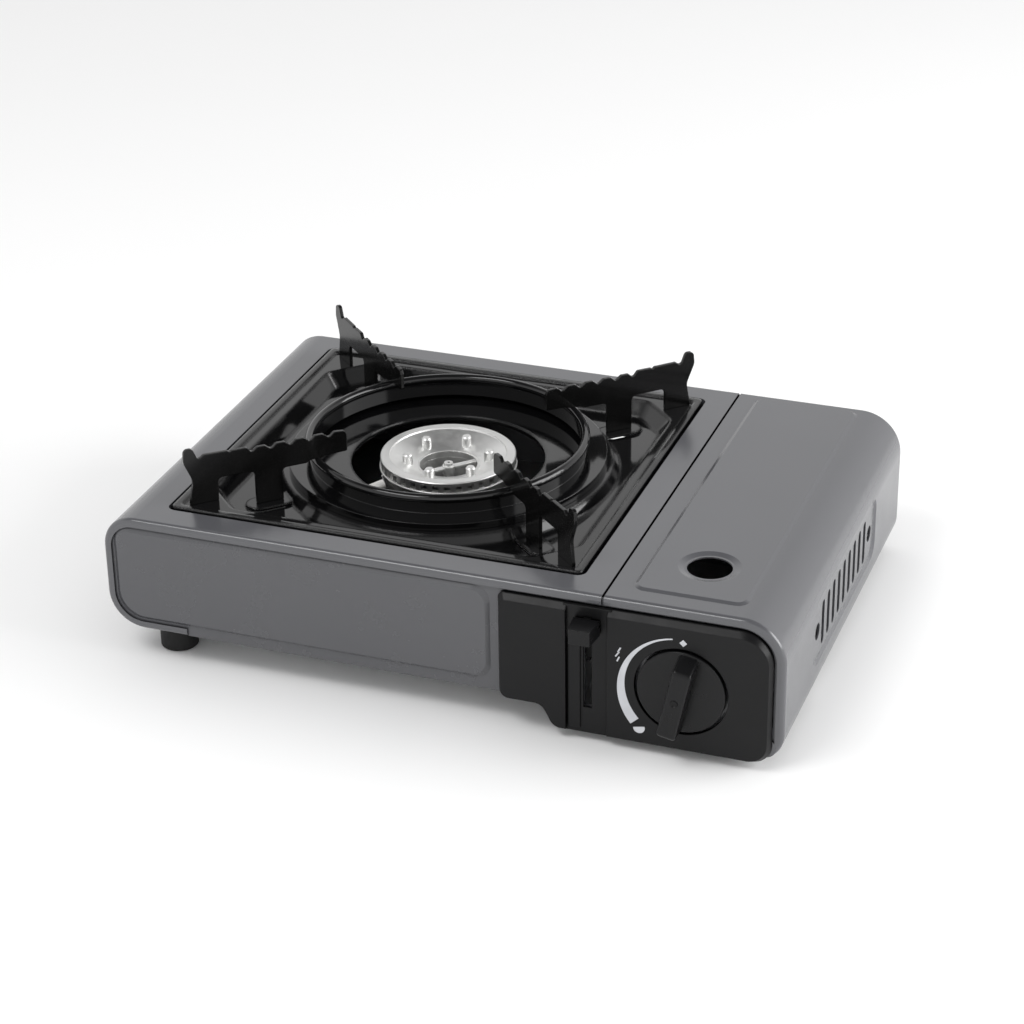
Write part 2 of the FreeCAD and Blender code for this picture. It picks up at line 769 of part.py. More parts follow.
def make_burner_centre():
    """Strap across the air tube that holds the middle nozzle."""
    strap_z = burner_top_z - head_dish - centre_drop
    strap = Part.makeBox(2.0 * head_hole_r, strap_width, 1.2,
                         Vector(-head_hole_r, -strap_width / 2.0, strap_z))
    strap.rotate(Vector(0, 0, 0), Vector(0, 0, 1), electrode_angle)
    strap.translate(at(burner_x, burner_depth, 0))
    strap = strap.common(rod_z(burner_x, burner_depth, head_hole_r, 0, top_z))
    nozzle = rod_z(burner_x, burner_depth, 2.3, strap_z - 9.0, strap_z + 3.6)
    collar = rod_z(burner_x, burner_depth, 3.2, strap_z - 2.0, strap_z + 1.9)
    bore = rod_z(burner_x, burner_depth, 0.8, strap_z + 1.0, strap_z + 4.0)
    return fused([strap, nozzle, collar]).cut(bore)


def make_burner_bracket():
    half = bracket_half_length
    width = bracket_half_width
    parts = [box(burner_x - half, burner_x + half, burner_depth - width, burner_depth + width,
                 bowl_bottom_z - 1.2, bowl_bottom_z)]
    for side in (-1, 1):
        x0 = burner_x + side * half
        parts.append(box(min(x0, x0 - side * 1.2), max(x0, x0 - side * 1.2), burner_depth - width,
                         burner_depth + width, floor_z, bowl_bottom_z))
        parts.append(box(min(x0, x0 + side * 9), max(x0, x0 + side * 9), burner_depth - width,
                         burner_depth + width, floor_z, floor_z + 1.2))
    air_hole = rod_z(burner_x, burner_depth, head_hole_r - 5.0, floor_z, bowl_bottom_z + 1)
    return fused(parts).cut(air_hole)


def make_mixing_tube():
    start = at(jet_x, jet_depth, tube_z) + tube_direction * 2.0
    end = at(burner_x, burner_depth, tube_z) - tube_direction * 10.0
    neck = start + tube_direction * bell_length
    tube = rod_between(neck, end, tube_r)
    bell = Part.makeCone(bell_r, tube_r, bell_length, start, tube_direction)
    bore = rod_between(neck - tube_direction, end + tube_direction, tube_r - tube_wall)
    mouth = Part.makeCone(bell_r - tube_wall, tube_r - tube_wall, bell_length, start, tube_direction)
    return tube.fuse(bell).cut(bore).cut(mouth).cut(rod_z(burner_x, burner_depth, bowl_r, 0, top_z))


def make_tube_saddle():
    middle = at(jet_x, jet_depth, tube_z) + tube_direction * saddle_way
    corner = Vector(-1.5, -saddle_width / 2.0, floor_z)
    block = Part.makeBox(3.0, saddle_width, tube_z - floor_z + 2.0, corner)
    turn = math.degrees(math.atan2(tube_direction.y, tube_direction.x))
    block.rotate(Vector(0, 0, 0), Vector(0, 0, 1), turn)
    block.translate(Vector(middle.x, middle.y, 0))
    return block.cut(rod_between(middle - tube_direction * 9, middle + tube_direction * 9, tube_r))


def make_gas_jet():
    tip = at(jet_x, jet_depth, tube_z)
    start = tip - tube_direction * 12.0
    jet = rod_between(start, tip, jet_r).fuse(Part.makeCone(jet_r, 1.6, 3.0, tip, tube_direction))
    hexagon = rod_between(tip - tube_direction * 5.0, tip - tube_direction * 1.5, jet_r + 1.4)
    bore = rod_between(start, tip + tube_direction * 4.0, jet_bore_r)
    return jet.fuse(hexagon).cut([bore, make_regulator_block(), make_regulator_cover()])


# Regulator
def make_regulator_block():
    d0 = regulator_front
    parts = [rod_y(knob_x, knob_z, regulator_r, d0, d0 + regulator_length)]
    for side in (-1, 1):
        parts.append(rod_y(knob_x + side * (regulator_r - 4.0), knob_z, 2.6, panel_back, d0))
    return fused(parts)


def make_regulator_body():
    bore = rod_y(knob_x, knob_z, spindle_r + running_fit, regulator_front - 1, regulator_front + 10.0 + 1)
    chamber = rod_y(knob_x, knob_z, regulator_r - 4.0, regulator_front + 13.0, regulator_front + 30.0)
    return make_regulator_block().cut(bore).cut(chamber)


def make_regulator_cover():
    d0 = regulator_front + regulator_length
    return rod_y(knob_x, knob_z, regulator_r, d0, d0 + cover_thickness)


def make_inlet_socket():
    socket = rod_y(knob_x, cartridge_z, socket_r, socket_depth, socket_depth + socket_length)
    bore = rod_y(knob_x, cartridge_z, socket_bore_r, seal_depth, socket_depth + socket_length + 1)
    return socket.cut(bore).cut(rod_y(knob_x, cartridge_z, seal_r, seal_depth, seal_depth + seal_thickness))


def make_inlet_seal():
    seal = rod_y(knob_x, cartridge_z, seal_r, seal_depth, seal_depth + seal_thickness)
    return seal.cut(rod_y(knob_x, cartridge_z, seal_r - 2.4, seal_depth - 1, seal_depth + 3))


def make_regulator_screws():
    d0 = socket_depth
    screws = []
    for index in range(4):
        angle = math.radians(45 + index * 90)
        x = knob_x + (regulator_r - 3.0) * math.cos(angle)
        z = knob_z + (regulator_r - 3.0) * math.sin(angle)
        screws.append(fused([rod_y(x, z, 1.2, d0 - 8.0, d0), rod_y(x, z, 2.4, d0, d0 + 1.4)]))
    return Part.makeCompound(screws)


# Control panel, knob and spindle
def make_control_panel():
    base_r = lid_upper_r - band_width - control_side_gap
    base = control_outline(0, 0, base_r)
    face = control_outline(control_bevel, control_bevel_top, base_r - 3.0)
    skirt = prism(base, front_place, -1.0, panel_front)
    front = tapered(base, front_place(-1.0), face, front_place(face_depth))
    hollow = prism(control_outline(panel_wall + 1.5, panel_wall + control_bevel_top, base_r - 5.0),
                   front_place, face_depth + panel_wall, panel_front + 1)
    panel = skirt.fuse(front).cut(hollow)
    x0 = channel_left
    x1 = channel_left + channel_width
    floor_block = box(x0 - 1.5, x1 + 1.5, face_depth + channel_depth, face_depth + channel_depth + 1.6,
                      bay_under_z + 1.0, control_top)
    panel = panel.fuse(floor_block)
    panel = panel.cut(box(x0, x1, face_depth - 1, face_depth + channel_depth, 0, top_z))
    strip_top = stem_top_z - tab_height - 4.0
    floor_depth = face_depth + channel_depth
    strip = box(x0 + 1.0, x0 + 1.0 + guide_strip_width, floor_depth - guide_strip_rise,
                floor_depth + 0.5, bay_under_z + 3.0, strip_top)
    panel = panel.fuse(strip)
    half = lever_slot_width / 2.0
    low = stem_top_z - stem_length - lever_travel - 0.3
    panel = panel.cut(box(lever_x - half, lever_x + half, face_depth - 1, panel_front + 1,
                          low, stem_top_z + 0.4))
    panel = panel.cut(rod_y(knob_x, knob_z, knob_r + knob_gap, face_depth - 1, panel_front + 1))
    reach = Vector(hinge_x - corner_x, 0, hinge_z - bay_under_z).Length + 0.8
    swing = rod_y(hinge_x, hinge_z, reach, -0.3, panel_front + 1)
    for x, z in panel_screw_places:
        boss = rod_y(x, z, 3.4, face_depth + panel_wall - 0.5, panel_front)
        panel = panel.fuse(boss)
    return panel.cut(swing).removeSplitter()


def make_knob():
    back = face_depth - knob_disc_proud + knob_disc_thickness
    front = face_depth - knob_disc_proud
    disc = rod_y(knob_x, knob_z, knob_r, front, back)
    rim = [edge for edge in disc.Edges if abs(edge.BoundBox.YMax - y_at(front)) < 1e-6]
    disc = disc.makeFillet(0.8, rim)
    hub = rod_y(knob_x, knob_z, 6.0, back, panel_front - 0.4)
    half = grip_width / 2.0
    low = knob_z - grip_length / 2.0 - 1.0
    high = knob_z + grip_length / 2.0 + 0.5
    side = [(front + 1.0, low, 0), (front + 1.0, high, 0), (front - grip_height, high - 4.5, 2.5),
            (front - grip_height, low + 0.8, 2.5)]
    grip = prism(side, side_place, knob_x - half, knob_x + half)
    sides = edges_where(grip, lambda b: b.XLength < 1e-6 and b.YMin < y_at(front) - 0.5)
    grip = grip.makeFillet(grip_corner_r, sides)
    dimple = Part.makeSphere(2.4, at(knob_x, front - grip_height - 1.2, knob_z))
    knob = fused([disc, hub, grip]).cut(dimple)
    knob = knob.cut(rod_y(knob_x, knob_z, spindle_r, front + 1.5, panel_front))
    knob.rotate(at(knob_x, 0, knob_z), Vector(0, 1, 0), knob_lean)
    return knob


def make_spindle():
    front = face_depth - knob_disc_proud + 1.5
    return rod_y(knob_x, knob_z, spindle_r, front, regulator_front + 10.0)


def cam_depths():
    d0 = panel_back + 1.0
    return d0, d0 + cam_thickness


def make_ignition_cam():
    """Spiral cam that pushes the plunger up steadily as the knob turns."""
    d0, d1 = cam_depths()
    points = []
    steps = 24
    for index in range(steps + 1):
        turn = cam_sweep * index / steps
        radius = cam_base_r + cam_rise * turn / cam_sweep
        angle = math.radians(90.0 - turn)
        points.append(at(knob_x + radius * math.cos(angle), d0, knob_z + radius * math.sin(angle)))
    rise = Part.BSplineCurve()
    rise.interpolate(points)
    end_angle = math.radians(90.0 - cam_sweep)
    foot = at(knob_x + cam_base_r * math.cos(end_angle), d0, knob_z + cam_base_r * math.sin(end_angle))
    back_angle = math.radians(90.0 + (360.0 - cam_sweep) / 2.0)
    back = at(knob_x + cam_base_r * math.cos(back_angle), d0, knob_z + cam_base_r * math.sin(back_angle))
    edges = [rise.toShape(), Part.LineSegment(points[-1], foot).toShape(),
             Part.Arc(foot, back, points[0]).toShape()]
    cam = Part.Face(Part.Wire(edges)).extrude(Vector(0, d1 - d0, 0))
    return cam.cut(rod_y(knob_x, knob_z, spindle_r, d0 - 1, d1 + 1))


# Igniter
def plunger_depth():
    d0, d1 = cam_depths()
    return (d0 + d1) / 2.0


def make_igniter_plunger():
    tip = knob_z + cam_base_r + cam_clearance
    depth = plunger_depth()
    body = rod_z(knob_x, depth, plunger_r, tip + plunger_r, piezo_z0 + cam_rise + 2.0)
    return body.fuse(Part.makeSphere(plunger_r, at(knob_x, depth, tip + plunger_r))).removeSplitter()


def make_piezo_body():
    body = rod_z(knob_x, piezo_depth, piezo_r, piezo_z0, piezo_z0 + piezo_length)
    bore_top = piezo_z0 + 2.0 * cam_rise + 3.0
    return body.cut(rod_z(knob_x, plunger_depth(), plunger_r + running_fit, piezo_z0 - 1, bore_top))


def make_igniter_clip():
    z0 = piezo_z0 + 4.0
    half = piezo_r + 1.5
    clip = box(knob_x - half, knob_x + half, panel_back, piezo_depth + 2.0, z0, z0 + 6.0)
    return clip.cut(rod_z(knob_x, piezo_depth, piezo_r, z0 - 1, z0 + 7))


def electrode_line(radius):
    """Point on the electrode's axis, which falls away from the burner head."""
    drop = (radius - head_lip_r) * math.tan(math.radians(electrode_slope))
    return polar(burner_x, burner_depth, radius, electrode_angle, electrode_z - drop)


def make_electrode_insulator():
    inner = electrode_line(electrode_r0)
    outer = electrode_line(electrode_r1)
    return rod_between(inner, outer, insulator_r).cut(rod_between(inner, outer, wire_r))


def make_electrode_wire():
    bend = electrode_line(electrode_r0 - 1.0)
    outer = electrode_line(electrode_r1)
    tip = polar(burner_x, burner_depth, head_lip_r + spark_gap, electrode_angle, electrode_z + 4.8)
    joint = Part.makeSphere(wire_r, bend)
    return fused([rod_between(bend, outer, wire_r), joint, rod_between(bend, tip, wire_r)])


def make_electrode_bracket():
    middle = electrode_line(electrode_r1 - 2.6)
    top = middle.z + insulator_r + 1.6
    reach = electrode_r1 - 2.6
    plate = Part.makeBox(1.2, 9.0, top - floor_z, Vector(reach, -4.5, floor_z))
    foot = Part.makeBox(8.0, 9.0, 1.2, Vector(reach, -4.5, floor_z))
    bracket = plate.fuse(foot)
    bracket.rotate(Vector(0, 0, 0), Vector(0, 0, 1), electrode_angle)
    bracket.translate(at(burner_x, burner_depth, 0))
    hole = rod_between(electrode_line(electrode_r0), electrode_line(reach + 20.0), insulator_r)
    return bracket.cut(hole).removeSplitter()


def make_lead():
    """Held lead: straight runs joined by tangent arcs, from the piezo to the electrode."""
    points = [at(*place) for place in lead_route]
    edges = []
    start = points[0]
    for before, here, after in zip(points, points[1:], points[2:]):
        way_in = (here - before).normalize()
        way_out = (after - here).normalize()
        turn = way_in.getAngle(way_out)
        reach = 0.45 * min((here - before).Length, (after - here).Length)
        radius = reach / math.tan(turn / 2.0)
        print("lead bend radius", round(radius, 1))
        entry = here - way_in * reach
        leave = here + way_out * reach
        centre_way = (way_out - way_in).normalize()
        centre = here + centre_way * (radius / math.cos(turn / 2.0))
        middle = centre - centre_way * radius
        edges.append(Part.LineSegment(start, entry).toShape())
        edges.append(Part.Arc(entry, middle, leave).toShape())
        start = leave
    edges.append(Part.LineSegment(start, points[-1]).toShape())
    path = Part.Wire(edges)
    circle = Part.Wire(Part.makeCircle(lead_r, points[0], points[1] - points[0]))
    lead = path.makePipeShell([circle], True, False)
    print("lead volume ratio", round(lead.Volume / (math.pi * lead_r ** 2 * path.Length), 4))
    return lead


# Lock lever and carriage
def make_lever_tab():
    half = tab_width / 2.0
    wide = half + 1.2
    front = lever_back - tab_reach
    plan = [(lever_x - half, front, 0.8), (lever_x + half, front, 0.8),
            (lever_x + wide, lever_back, 0), (lever_x - wide, lever_back, 0)]
    return prism(plan, plan_place, stem_top_z - tab_height, stem_top_z)


def make_lever_plate():
    half = stem_width / 2.0
    z1 = stem_top_z
    z0 = stem_top_z - stem_length
    stem = box(lever_x - half, lever_x + half, lever_back, panel_back + 1.6, z0, z1)
    # Below the tab the stem stays behind the slot, so that the slot looks open.
    stem = stem.cut(box(lever_x - half - 1, lever_x + half + 1, lever_back - 1, lever_back + stem_notch,
                        z0 - 1, z1 - tab_height))
    plate_x1 = lever_x - half + fork_sheet
    slot_end = Vector(0, -carriage_travel, lever_travel)
    plate = box(lever_x - half, plate_x1, panel_back + 0.6, pin_depth + 6.0,
                pin_z - pin_r - 3.0, top_z - sheet - 1.1)
    # The slanted slot keeps the carriage pin at its own height while the lever moves.
    radius = pin_r + running_fit
    low = rod_x(pin_depth, pin_z, radius, lever_x - half - 1, plate_x1 + 1)
    high = low.copy()
    high.translate(slot_end)
    along = slot_end.normalize()
    across = Vector(0, along.z, -along.y) * radius
    corner = at(lever_x - half - 1, pin_depth, pin_z)
    far = corner + Vector(0, -carriage_travel, lever_travel)
    outline = Part.makePolygon([corner + across, far + across, far - across, corner - across,
                                corner + across])
    lane = Part.Face(outline).extrude(Vector(fork_sheet + 2, 0, 0))
    return fused([stem, plate]).cut(low.fuse(high).fuse(lane)).removeSplitter()


def make_carriage():
    arm_x0 = lever_x - stem_width / 2.0 + fork_sheet + 0.6
    z0 = pin_z - 5.0
    z1 = pin_z + 5.0
    arm = box(arm_x0, arm_x0 + fork_sheet, pin_depth - 5.0, fork_depth + fork_sheet, z0, z1)
    bridge = box(arm_x0, knob_x - 20.0, fork_depth, fork_depth + fork_sheet, z0, z1)
    outline = rectangle(knob_x - fork_left, knob_x + fork_right, fork_low_z, fork_high_z, 4.0)
    fork = prism(outline, front_place, fork_depth, fork_depth + fork_sheet)
    throat = rod_y(knob_x, cartridge_z, 12.0, fork_depth - 1, fork_depth + 4)
    mouth = box(knob_x - 12.0, knob_x + 12.0, fork_depth - 1, fork_depth + 4, cartridge_z, top_z)
    pin = rod_x(pin_depth, pin_z, pin_r, lever_x - stem_width / 2.0 - 1.2, arm_x0 + 0.5)
    carriage = fused([arm, bridge, fork.cut(throat).cut(mouth), pin])
    for x in guide_places:
        carriage = carriage.cut(rod_y(x, guide_z, guide_r + running_fit, fork_depth - 1, fork_depth + 4))
    return carriage


def make_stop_plate():
    d0 = stop_depth
    x0 = knob_x - 29.0
    x1 = knob_x + fork_right
    plate = box(x0, x1, d0, d0 + 1.2, bay_floor_z, cartridge_z - 7.3)
    foot = box(x0, x1, d0 - 7.0, d0 + 1.2, bay_floor_z, bay_floor_z + 1.2)
    notch = rod_y(knob_x, cartridge_z, 12.5, d0 - 1, d0 + 3)
    plate = plate.fuse(foot).cut(notch)
    for x in guide_places:
        plate = plate.cut(rod_y(x, guide_z, guide_r, d0 - 1, d0 + 3))
    return plate.removeSplitter()


def make_carriage_guides():
    return Part.makeCompound([rod_y(x, guide_z, guide_r, stop_depth, fork_depth + 2.3) for x in guide_places])


def make_cradle_rails():
    rails = []
    for side in (-1, 1):
        offset = rail_offset
        z1 = cartridge_z - math.sqrt(cartridge_r ** 2 - offset ** 2) - 0.3
        x = knob_x + side * offset
        ridge = [(x - 5.0, bay_floor_z, 0), (x - 2.0, z1 - 0.6, 1.0), (x + 2.0, z1 - 0.6, 1.0),
                 (x + 5.0, bay_floor_z, 0)]
        rails.append(prism(ridge, front_place, rail_front, body_depth - rail_back_land))
    return Part.makeCompound(rails)


def make_heat_plate():
    x1 = knob_x - rail_offset - 6.0
    return stepped_strip(burner_x + heat_plate_start, x1, sheet, 1.2, 2.0, heat_plate_d0, heat_plate_d1)


# Lid
def make_lid():
    outer = prism(lid_outline(0, lid_x, 0), front_place, 0, body_depth)
    outer = soften_front_and_back(outer, lid_x)
    inner = prism(lid_outline(sheet, lid_x - 1, sheet), front_place, sheet, body_depth - sheet)
    band_hole = prism(lid_outline(band_width, lid_x - 1, 0.9), front_place, -1, body_depth + 1)
    lid = outer.cut(inner).cut(band_hole)
    lid = lid.cut(box(lid_x - 1, corner_x, -1, body_depth + 1, 0, bay_under_z + 3.0))
    angle = math.radians(hinge_angle)
    far = (corner_x + 30 * math.cos(angle), corner_z + 30 * math.sin(angle), 0)
    below = [(corner_x, corner_z, 0), far, (corner_x, -20.0, 0)]
    lid = lid.cut(prism(below, front_place, sheet, body_depth - sheet))
    flange_low = top_z - seam_flange - sheet
    parts = [lid, box(lid_x, lid_x + sheet, flange_d0, flange_d1, flange_low, top_z - sheet)]
    for d0 in (0, body_depth - sheet):
        parts.append(rod_y(hinge_x, hinge_z, ear_r, d0, d0 + sheet))
    lid = fused(parts)
    lid = lid.cut(rod_y(hinge_x, hinge_z, hinge_pin_r + running_fit, -1, body_depth + 1))
    lid = emboss_lid_top(lid)
    return pierce_side_wall(lid).removeSplitter()


def emboss_lid_top(lid):
    x0 = lid_x + 9.8
    x1 = right_x - lid_upper_r - 0.5
    d0 = 11.8
    d1 = body_depth - 5.2
    slope = emboss_slope
    foot = rectangle(x0, x1, d0, d1, 6.0)
    crown = rectangle(x0 + slope, x1 - slope, d0 + slope, d1 - slope, 6.0 - slope)
    raised = tapered(foot, plan_place(top_z), crown, plan_place(top_z + emboss_rise))
    base = prism(foot, plan_place, top_z - 0.5, top_z)
    lowered = raised.copy()
    lowered.translate(Vector(0, 0, -sheet))
    lid = lid.fuse(raised).fuse(base).cut(lowered)
    dish_z = top_z + emboss_rise
    dish = Part.makeCone(finger_dish_r - 3.0, finger_dish_r, 0.9,
                         at(finger_hole_x, finger_hole_depth, dish_z - 0.9))
    collar = rod_z(finger_hole_x, finger_hole_depth, finger_dish_r + sheet, top_z - 0.8, top_z + 0.1)
    hole = rod_z(finger_hole_x, finger_hole_depth, finger_hole_r, top_z - 6, top_z + 3)
    return lid.fuse(collar).cut(dish).cut(hole)


def pierce_side_wall(lid):
    d0, d1, z0, z1 = vent_field
    outer_face = rectangle(d0, d1, z0, z1, 9.0)
    slope = vent_recess_slope
    inner_face = rectangle(d0 + slope, d1 - slope, z0 + slope, z1 - slope, 9.0 - slope)
    dent = tapered(outer_face, side_place(right_x), inner_face, side_place(right_x - vent_recess))
    backing = tapered(outer_face, side_place(right_x - sheet),
                      inner_face, side_place(right_x - sheet - vent_recess))
    lid = lid.fuse(backing).cut(dent)
    middle_z = vent_middle_z
    pitch = (d1 - d0 - 2.0 * vent_end_margin) / (vent_slot_count + 1)
    cuts = []
    for index in range(vent_slot_count + 2):
        depth = d0 + vent_end_margin + index * pitch
        if index in (0, vent_slot_count + 1):
            cuts.append(rod_x(depth, middle_z, vent_hole_r, right_x - 6, right_x + 1))
            continue
        half = vent_slot_width / 2.0
        outline = rectangle(depth - half, depth + half, middle_z - vent_slot_length / 2.0,
                            middle_z + vent_slot_length / 2.0, half * 0.98)
        cuts.append(prism(outline, side_place, right_x - 6, right_x + 1))
    return lid.cut(Part.makeCompound(cuts))


def make_hinge_pins():
    pins = []
    for d0, d1 in ((0.15, panel_back + 1.5), (body_depth - panel_back - 1.5, body_depth - 0.15)):
        pins.append(rod_y(hinge_x, hinge_z, hinge_pin_r, d0, d1))
    heads = (rod_y(hinge_x, hinge_z, 2.2, panel_back, panel_back + 1.5),
             rod_y(hinge_x, hinge_z, 2.2, body_depth - panel_back - 1.5, body_depth - panel_back))
    return Part.makeCompound([pin.fuse(head).removeSplitter() for pin, head in zip(pins, heads)])


# Feet and fasteners
def foot_places():
    depths = (foot_inset, body_depth - foot_inset)
    tall = [(tall_foot_x, depth) for depth in depths]
    short = [(short_foot_x, depth) for depth in depths]
    return tall, short


def foot_solid(x, depth, height):
    foot = rod_z(x, depth, foot_r, 0, height)
    low_edge = [edge for edge in foot.Edges if edge.BoundBox.ZMax < 1e-6]
    return foot.makeFillet(1.0, low_edge)


def foot_screw(x, depth, top, length):
    shank = rod_z(x, depth, screw_r, top - length, top)
    return fused([shank, rod_z(x, depth, screw_head_r, top, top + screw_head)])


def make_foot_screws():
    tall, short = foot_places()
    screws = [foot_screw(x, depth, floor_z, 12.0) for x, depth in tall]
    screws += [foot_screw(x, depth, bay_floor_z, 3.6) for x, depth in short]
    return Part.makeCompound(screws)


def make_panel_screws():
    screws = []
    for x, z in panel_screw_places:
        shank = rod_y(x, z, 1.4, face_depth + panel_wall, panel_back)
        screws.append(fused([shank, rod_y(x, z, 2.8, panel_back, panel_back + 1.5)]))
    return Part.makeCompound(screws)


def make_base_screws():
    screws = []
    reach = bracket_half_length + 4.5
    for x in (burner_x - reach, burner_x + reach):
        for side in (-1, 1):
            depth = burner_depth + side * (bracket_half_width - 5.0)
            shank = rod_z(x, depth, 1.4, floor_z - sheet - 0.8, floor_z + 1.2)
            screws.append(fused([shank, rod_z(x, depth, 2.6, floor_z + 1.2, floor_z + 2.6)]))
    return Part.makeCompound(screws)


# Places that several pieces share
heat_plate_d0 = burner_depth + heat_plate_back
heat_plate_d1 = heat_plate_d0 + heat_plate_width
guide_r = 2.0
guide_z = 16.0
guide_places = (knob_x - 25.0, knob_x + 28.0)
stop_depth = socket_depth + socket_length + 0.4
piezo_z0 = knob_z + regulator_r + 0.9
piezo_depth = panel_back + piezo_r + fit_gap
vent_field = (vent_front, body_depth - vent_back_land, 24.1, 59.5)
panel_screw_places = (
    (control_left + 11.4, 62.0), (control_left + 11.4, 26.0), (lid_x + 11.2, 62.0),
    (right_x - 17.0, 60.0), (lid_x + 11.2, 12.0),
)
electrode_r0 = head_lip_r + 1.0
electrode_r1 = electrode_r0 + insulator_length * math.cos(math.radians(electrode_slope))
electrode_end = electrode_line(electrode_r1)
lead_start_z = piezo_z0 + piezo_length - 4.0
lead_axis = electrode_line(electrode_r1 + 30.0)
lead_route = [
    (knob_x, piezo_depth + piezo_r + 0.1, lead_start_z),
    (knob_x, 36.0, lead_start_z - 1.0),
    (jet_x - 12.0, 41.0, 60.0),
    (40.0, 38.0, 52.0),
    (-30.0, 26.0, 42.0),
    (-90.0, 34.0, 50.0),
    (lead_axis.x, lead_axis.y - front_y, lead_axis.z),
    (electrode_end.x, electrode_end.y - front_y, electrode_end.z),
]


def build():
    """Every node of the stove by name."""
    nodes = {
        "body_shell": make_body_shell(),
        "front_panel": make_front_panel(),
        "rear_panel": make_rear_panel(),
        "base_plate": make_base_plate(),
        "bay_divider": make_bay_divider(),
        "control_panel": make_control_panel(),
        "lid_cover": make_lid(),
        "hinge_pins": make_hinge_pins(),
        "drip_pan": make_drip_pan(),
        "support_ring": make_support_ring(),
        "burner_head": make_burner_head(),
        "burner_bowl": make_burner_bowl(),
        "burner_centre": make_burner_centre(),
        "burner_bracket": make_burner_bracket(),
        "mixing_tube": make_mixing_tube(),
        "tube_saddle": make_tube_saddle(),
        "gas_jet": make_gas_jet(),
        "regulator_body": make_regulator_body(),
        "regulator_cover": make_regulator_cover(),
        "regulator_screws": make_regulator_screws(),
        "inlet_socket": make_inlet_socket(),
        "inlet_seal": make_inlet_seal(),
        "knob": make_knob(),
        "spindle": make_spindle(),
        "ignition_cam": make_ignition_cam(),
        "igniter_plunger": make_igniter_plunger(),
        "piezo_body": make_piezo_body(),
        "igniter_clip": make_igniter_clip(),
        "electrode_insulator": make_electrode_insulator(),
        "electrode_wire": make_electrode_wire(),
        "electrode_bracket": make_electrode_bracket(),
        "ignition_lead": make_lead(),
        "lever_tab": make_lever_tab(),
        "lever_plate": make_lever_plate(),
        "carriage": make_carriage(),
        "stop_plate": make_stop_plate(),
        "carriage_guides": make_carriage_guides(),
        "cradle_rails": make_cradle_rails(),
        "heat_plate": make_heat_plate(),
        "foot_screws": make_foot_screws(),
        "panel_screws": make_panel_screws(),
        "base_screws": make_base_screws(),
    }
    for name, degrees in zip(("back_right", "back_left", "front_left", "front_right"), arm_angles):
        nodes["support_arm_" + name] = make_support_arm(degrees)
    tall, short = foot_places()
    nodes["tall_feet"] = Part.makeCompound([foot_solid(x, depth, left_under_z) for x, depth in tall])
    nodes["short_feet"] = Part.makeCompound([foot_solid(x, depth, bay_under_z) for x, depth in short])
    screw_hosts = {
        "foot_screws": ("tall_feet", "short_feet", "body_shell", "base_plate"),
        "panel_screws": ("control_panel", "front_panel"),
        "base_screws": ("base_plate", "burner_bracket"),
        "regulator_screws": ("regulator_body", "regulator_cover"),
    }
    for screws, hosts in screw_hosts.items():
        for host in hosts:
            nodes[host] = nodes[host].cut(nodes[screws])
    return nodes


os.makedirs("parts", exist_ok=True)
for node, shape in build().items():
    solids = shape.Solids
    whole = solids[0] if len(solids) == 1 else Part.makeCompound(solids)
    print(node, len(solids), "solids", "valid" if whole.isValid() else "NOT VALID", round(whole.Volume))
    whole.exportStep("parts/" + node + ".step")
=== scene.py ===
"""Looks of a butane cassette stove: finishes, printed marks, camera and studio light."""

from __future__ import annotations

import json
import logging
import math
from dataclasses import dataclass, field

import bpy
from mathutils import Matrix, Vector

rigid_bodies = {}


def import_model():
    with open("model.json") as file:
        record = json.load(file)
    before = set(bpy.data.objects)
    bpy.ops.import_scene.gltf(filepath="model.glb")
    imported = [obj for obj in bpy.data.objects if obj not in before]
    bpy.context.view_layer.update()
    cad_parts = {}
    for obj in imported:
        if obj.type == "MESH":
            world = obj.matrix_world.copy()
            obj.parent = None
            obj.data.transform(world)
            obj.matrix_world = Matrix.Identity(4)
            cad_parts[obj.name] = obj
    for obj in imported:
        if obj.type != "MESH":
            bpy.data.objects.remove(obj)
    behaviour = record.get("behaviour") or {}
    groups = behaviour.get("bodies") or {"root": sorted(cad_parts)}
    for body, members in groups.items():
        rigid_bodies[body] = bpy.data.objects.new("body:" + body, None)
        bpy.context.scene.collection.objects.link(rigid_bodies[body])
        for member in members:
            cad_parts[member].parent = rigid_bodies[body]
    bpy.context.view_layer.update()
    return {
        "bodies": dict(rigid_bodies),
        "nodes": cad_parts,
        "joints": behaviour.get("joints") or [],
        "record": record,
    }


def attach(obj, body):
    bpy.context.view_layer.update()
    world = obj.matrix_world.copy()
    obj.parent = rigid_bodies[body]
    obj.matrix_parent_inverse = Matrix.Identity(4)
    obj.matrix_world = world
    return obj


LOG = logging.getLogger("stove")
MM = 0.001
BODY_DEPTH = 238.2
GRIP_REACH = 15.5
FRONT_Y = -BODY_DEPTH / 2.0 + GRIP_REACH / 2.0
FACING_FRONT = (math.pi / 2.0, 0.0, 0.0)


def place(x: float, depth: float, z: float) -> Vector:
    """A point in metres from millimetres, with its depth counted from the body's front plane.

    Args:
        x: Distance to the right of the middle, in millimetres.
        depth: Distance behind the front plane of the body, in millimetres.
        z: Height over the floor, in millimetres.

    Returns:
        The point in the scene.
    """
    return Vector((x, FRONT_Y + depth, z)) * MM


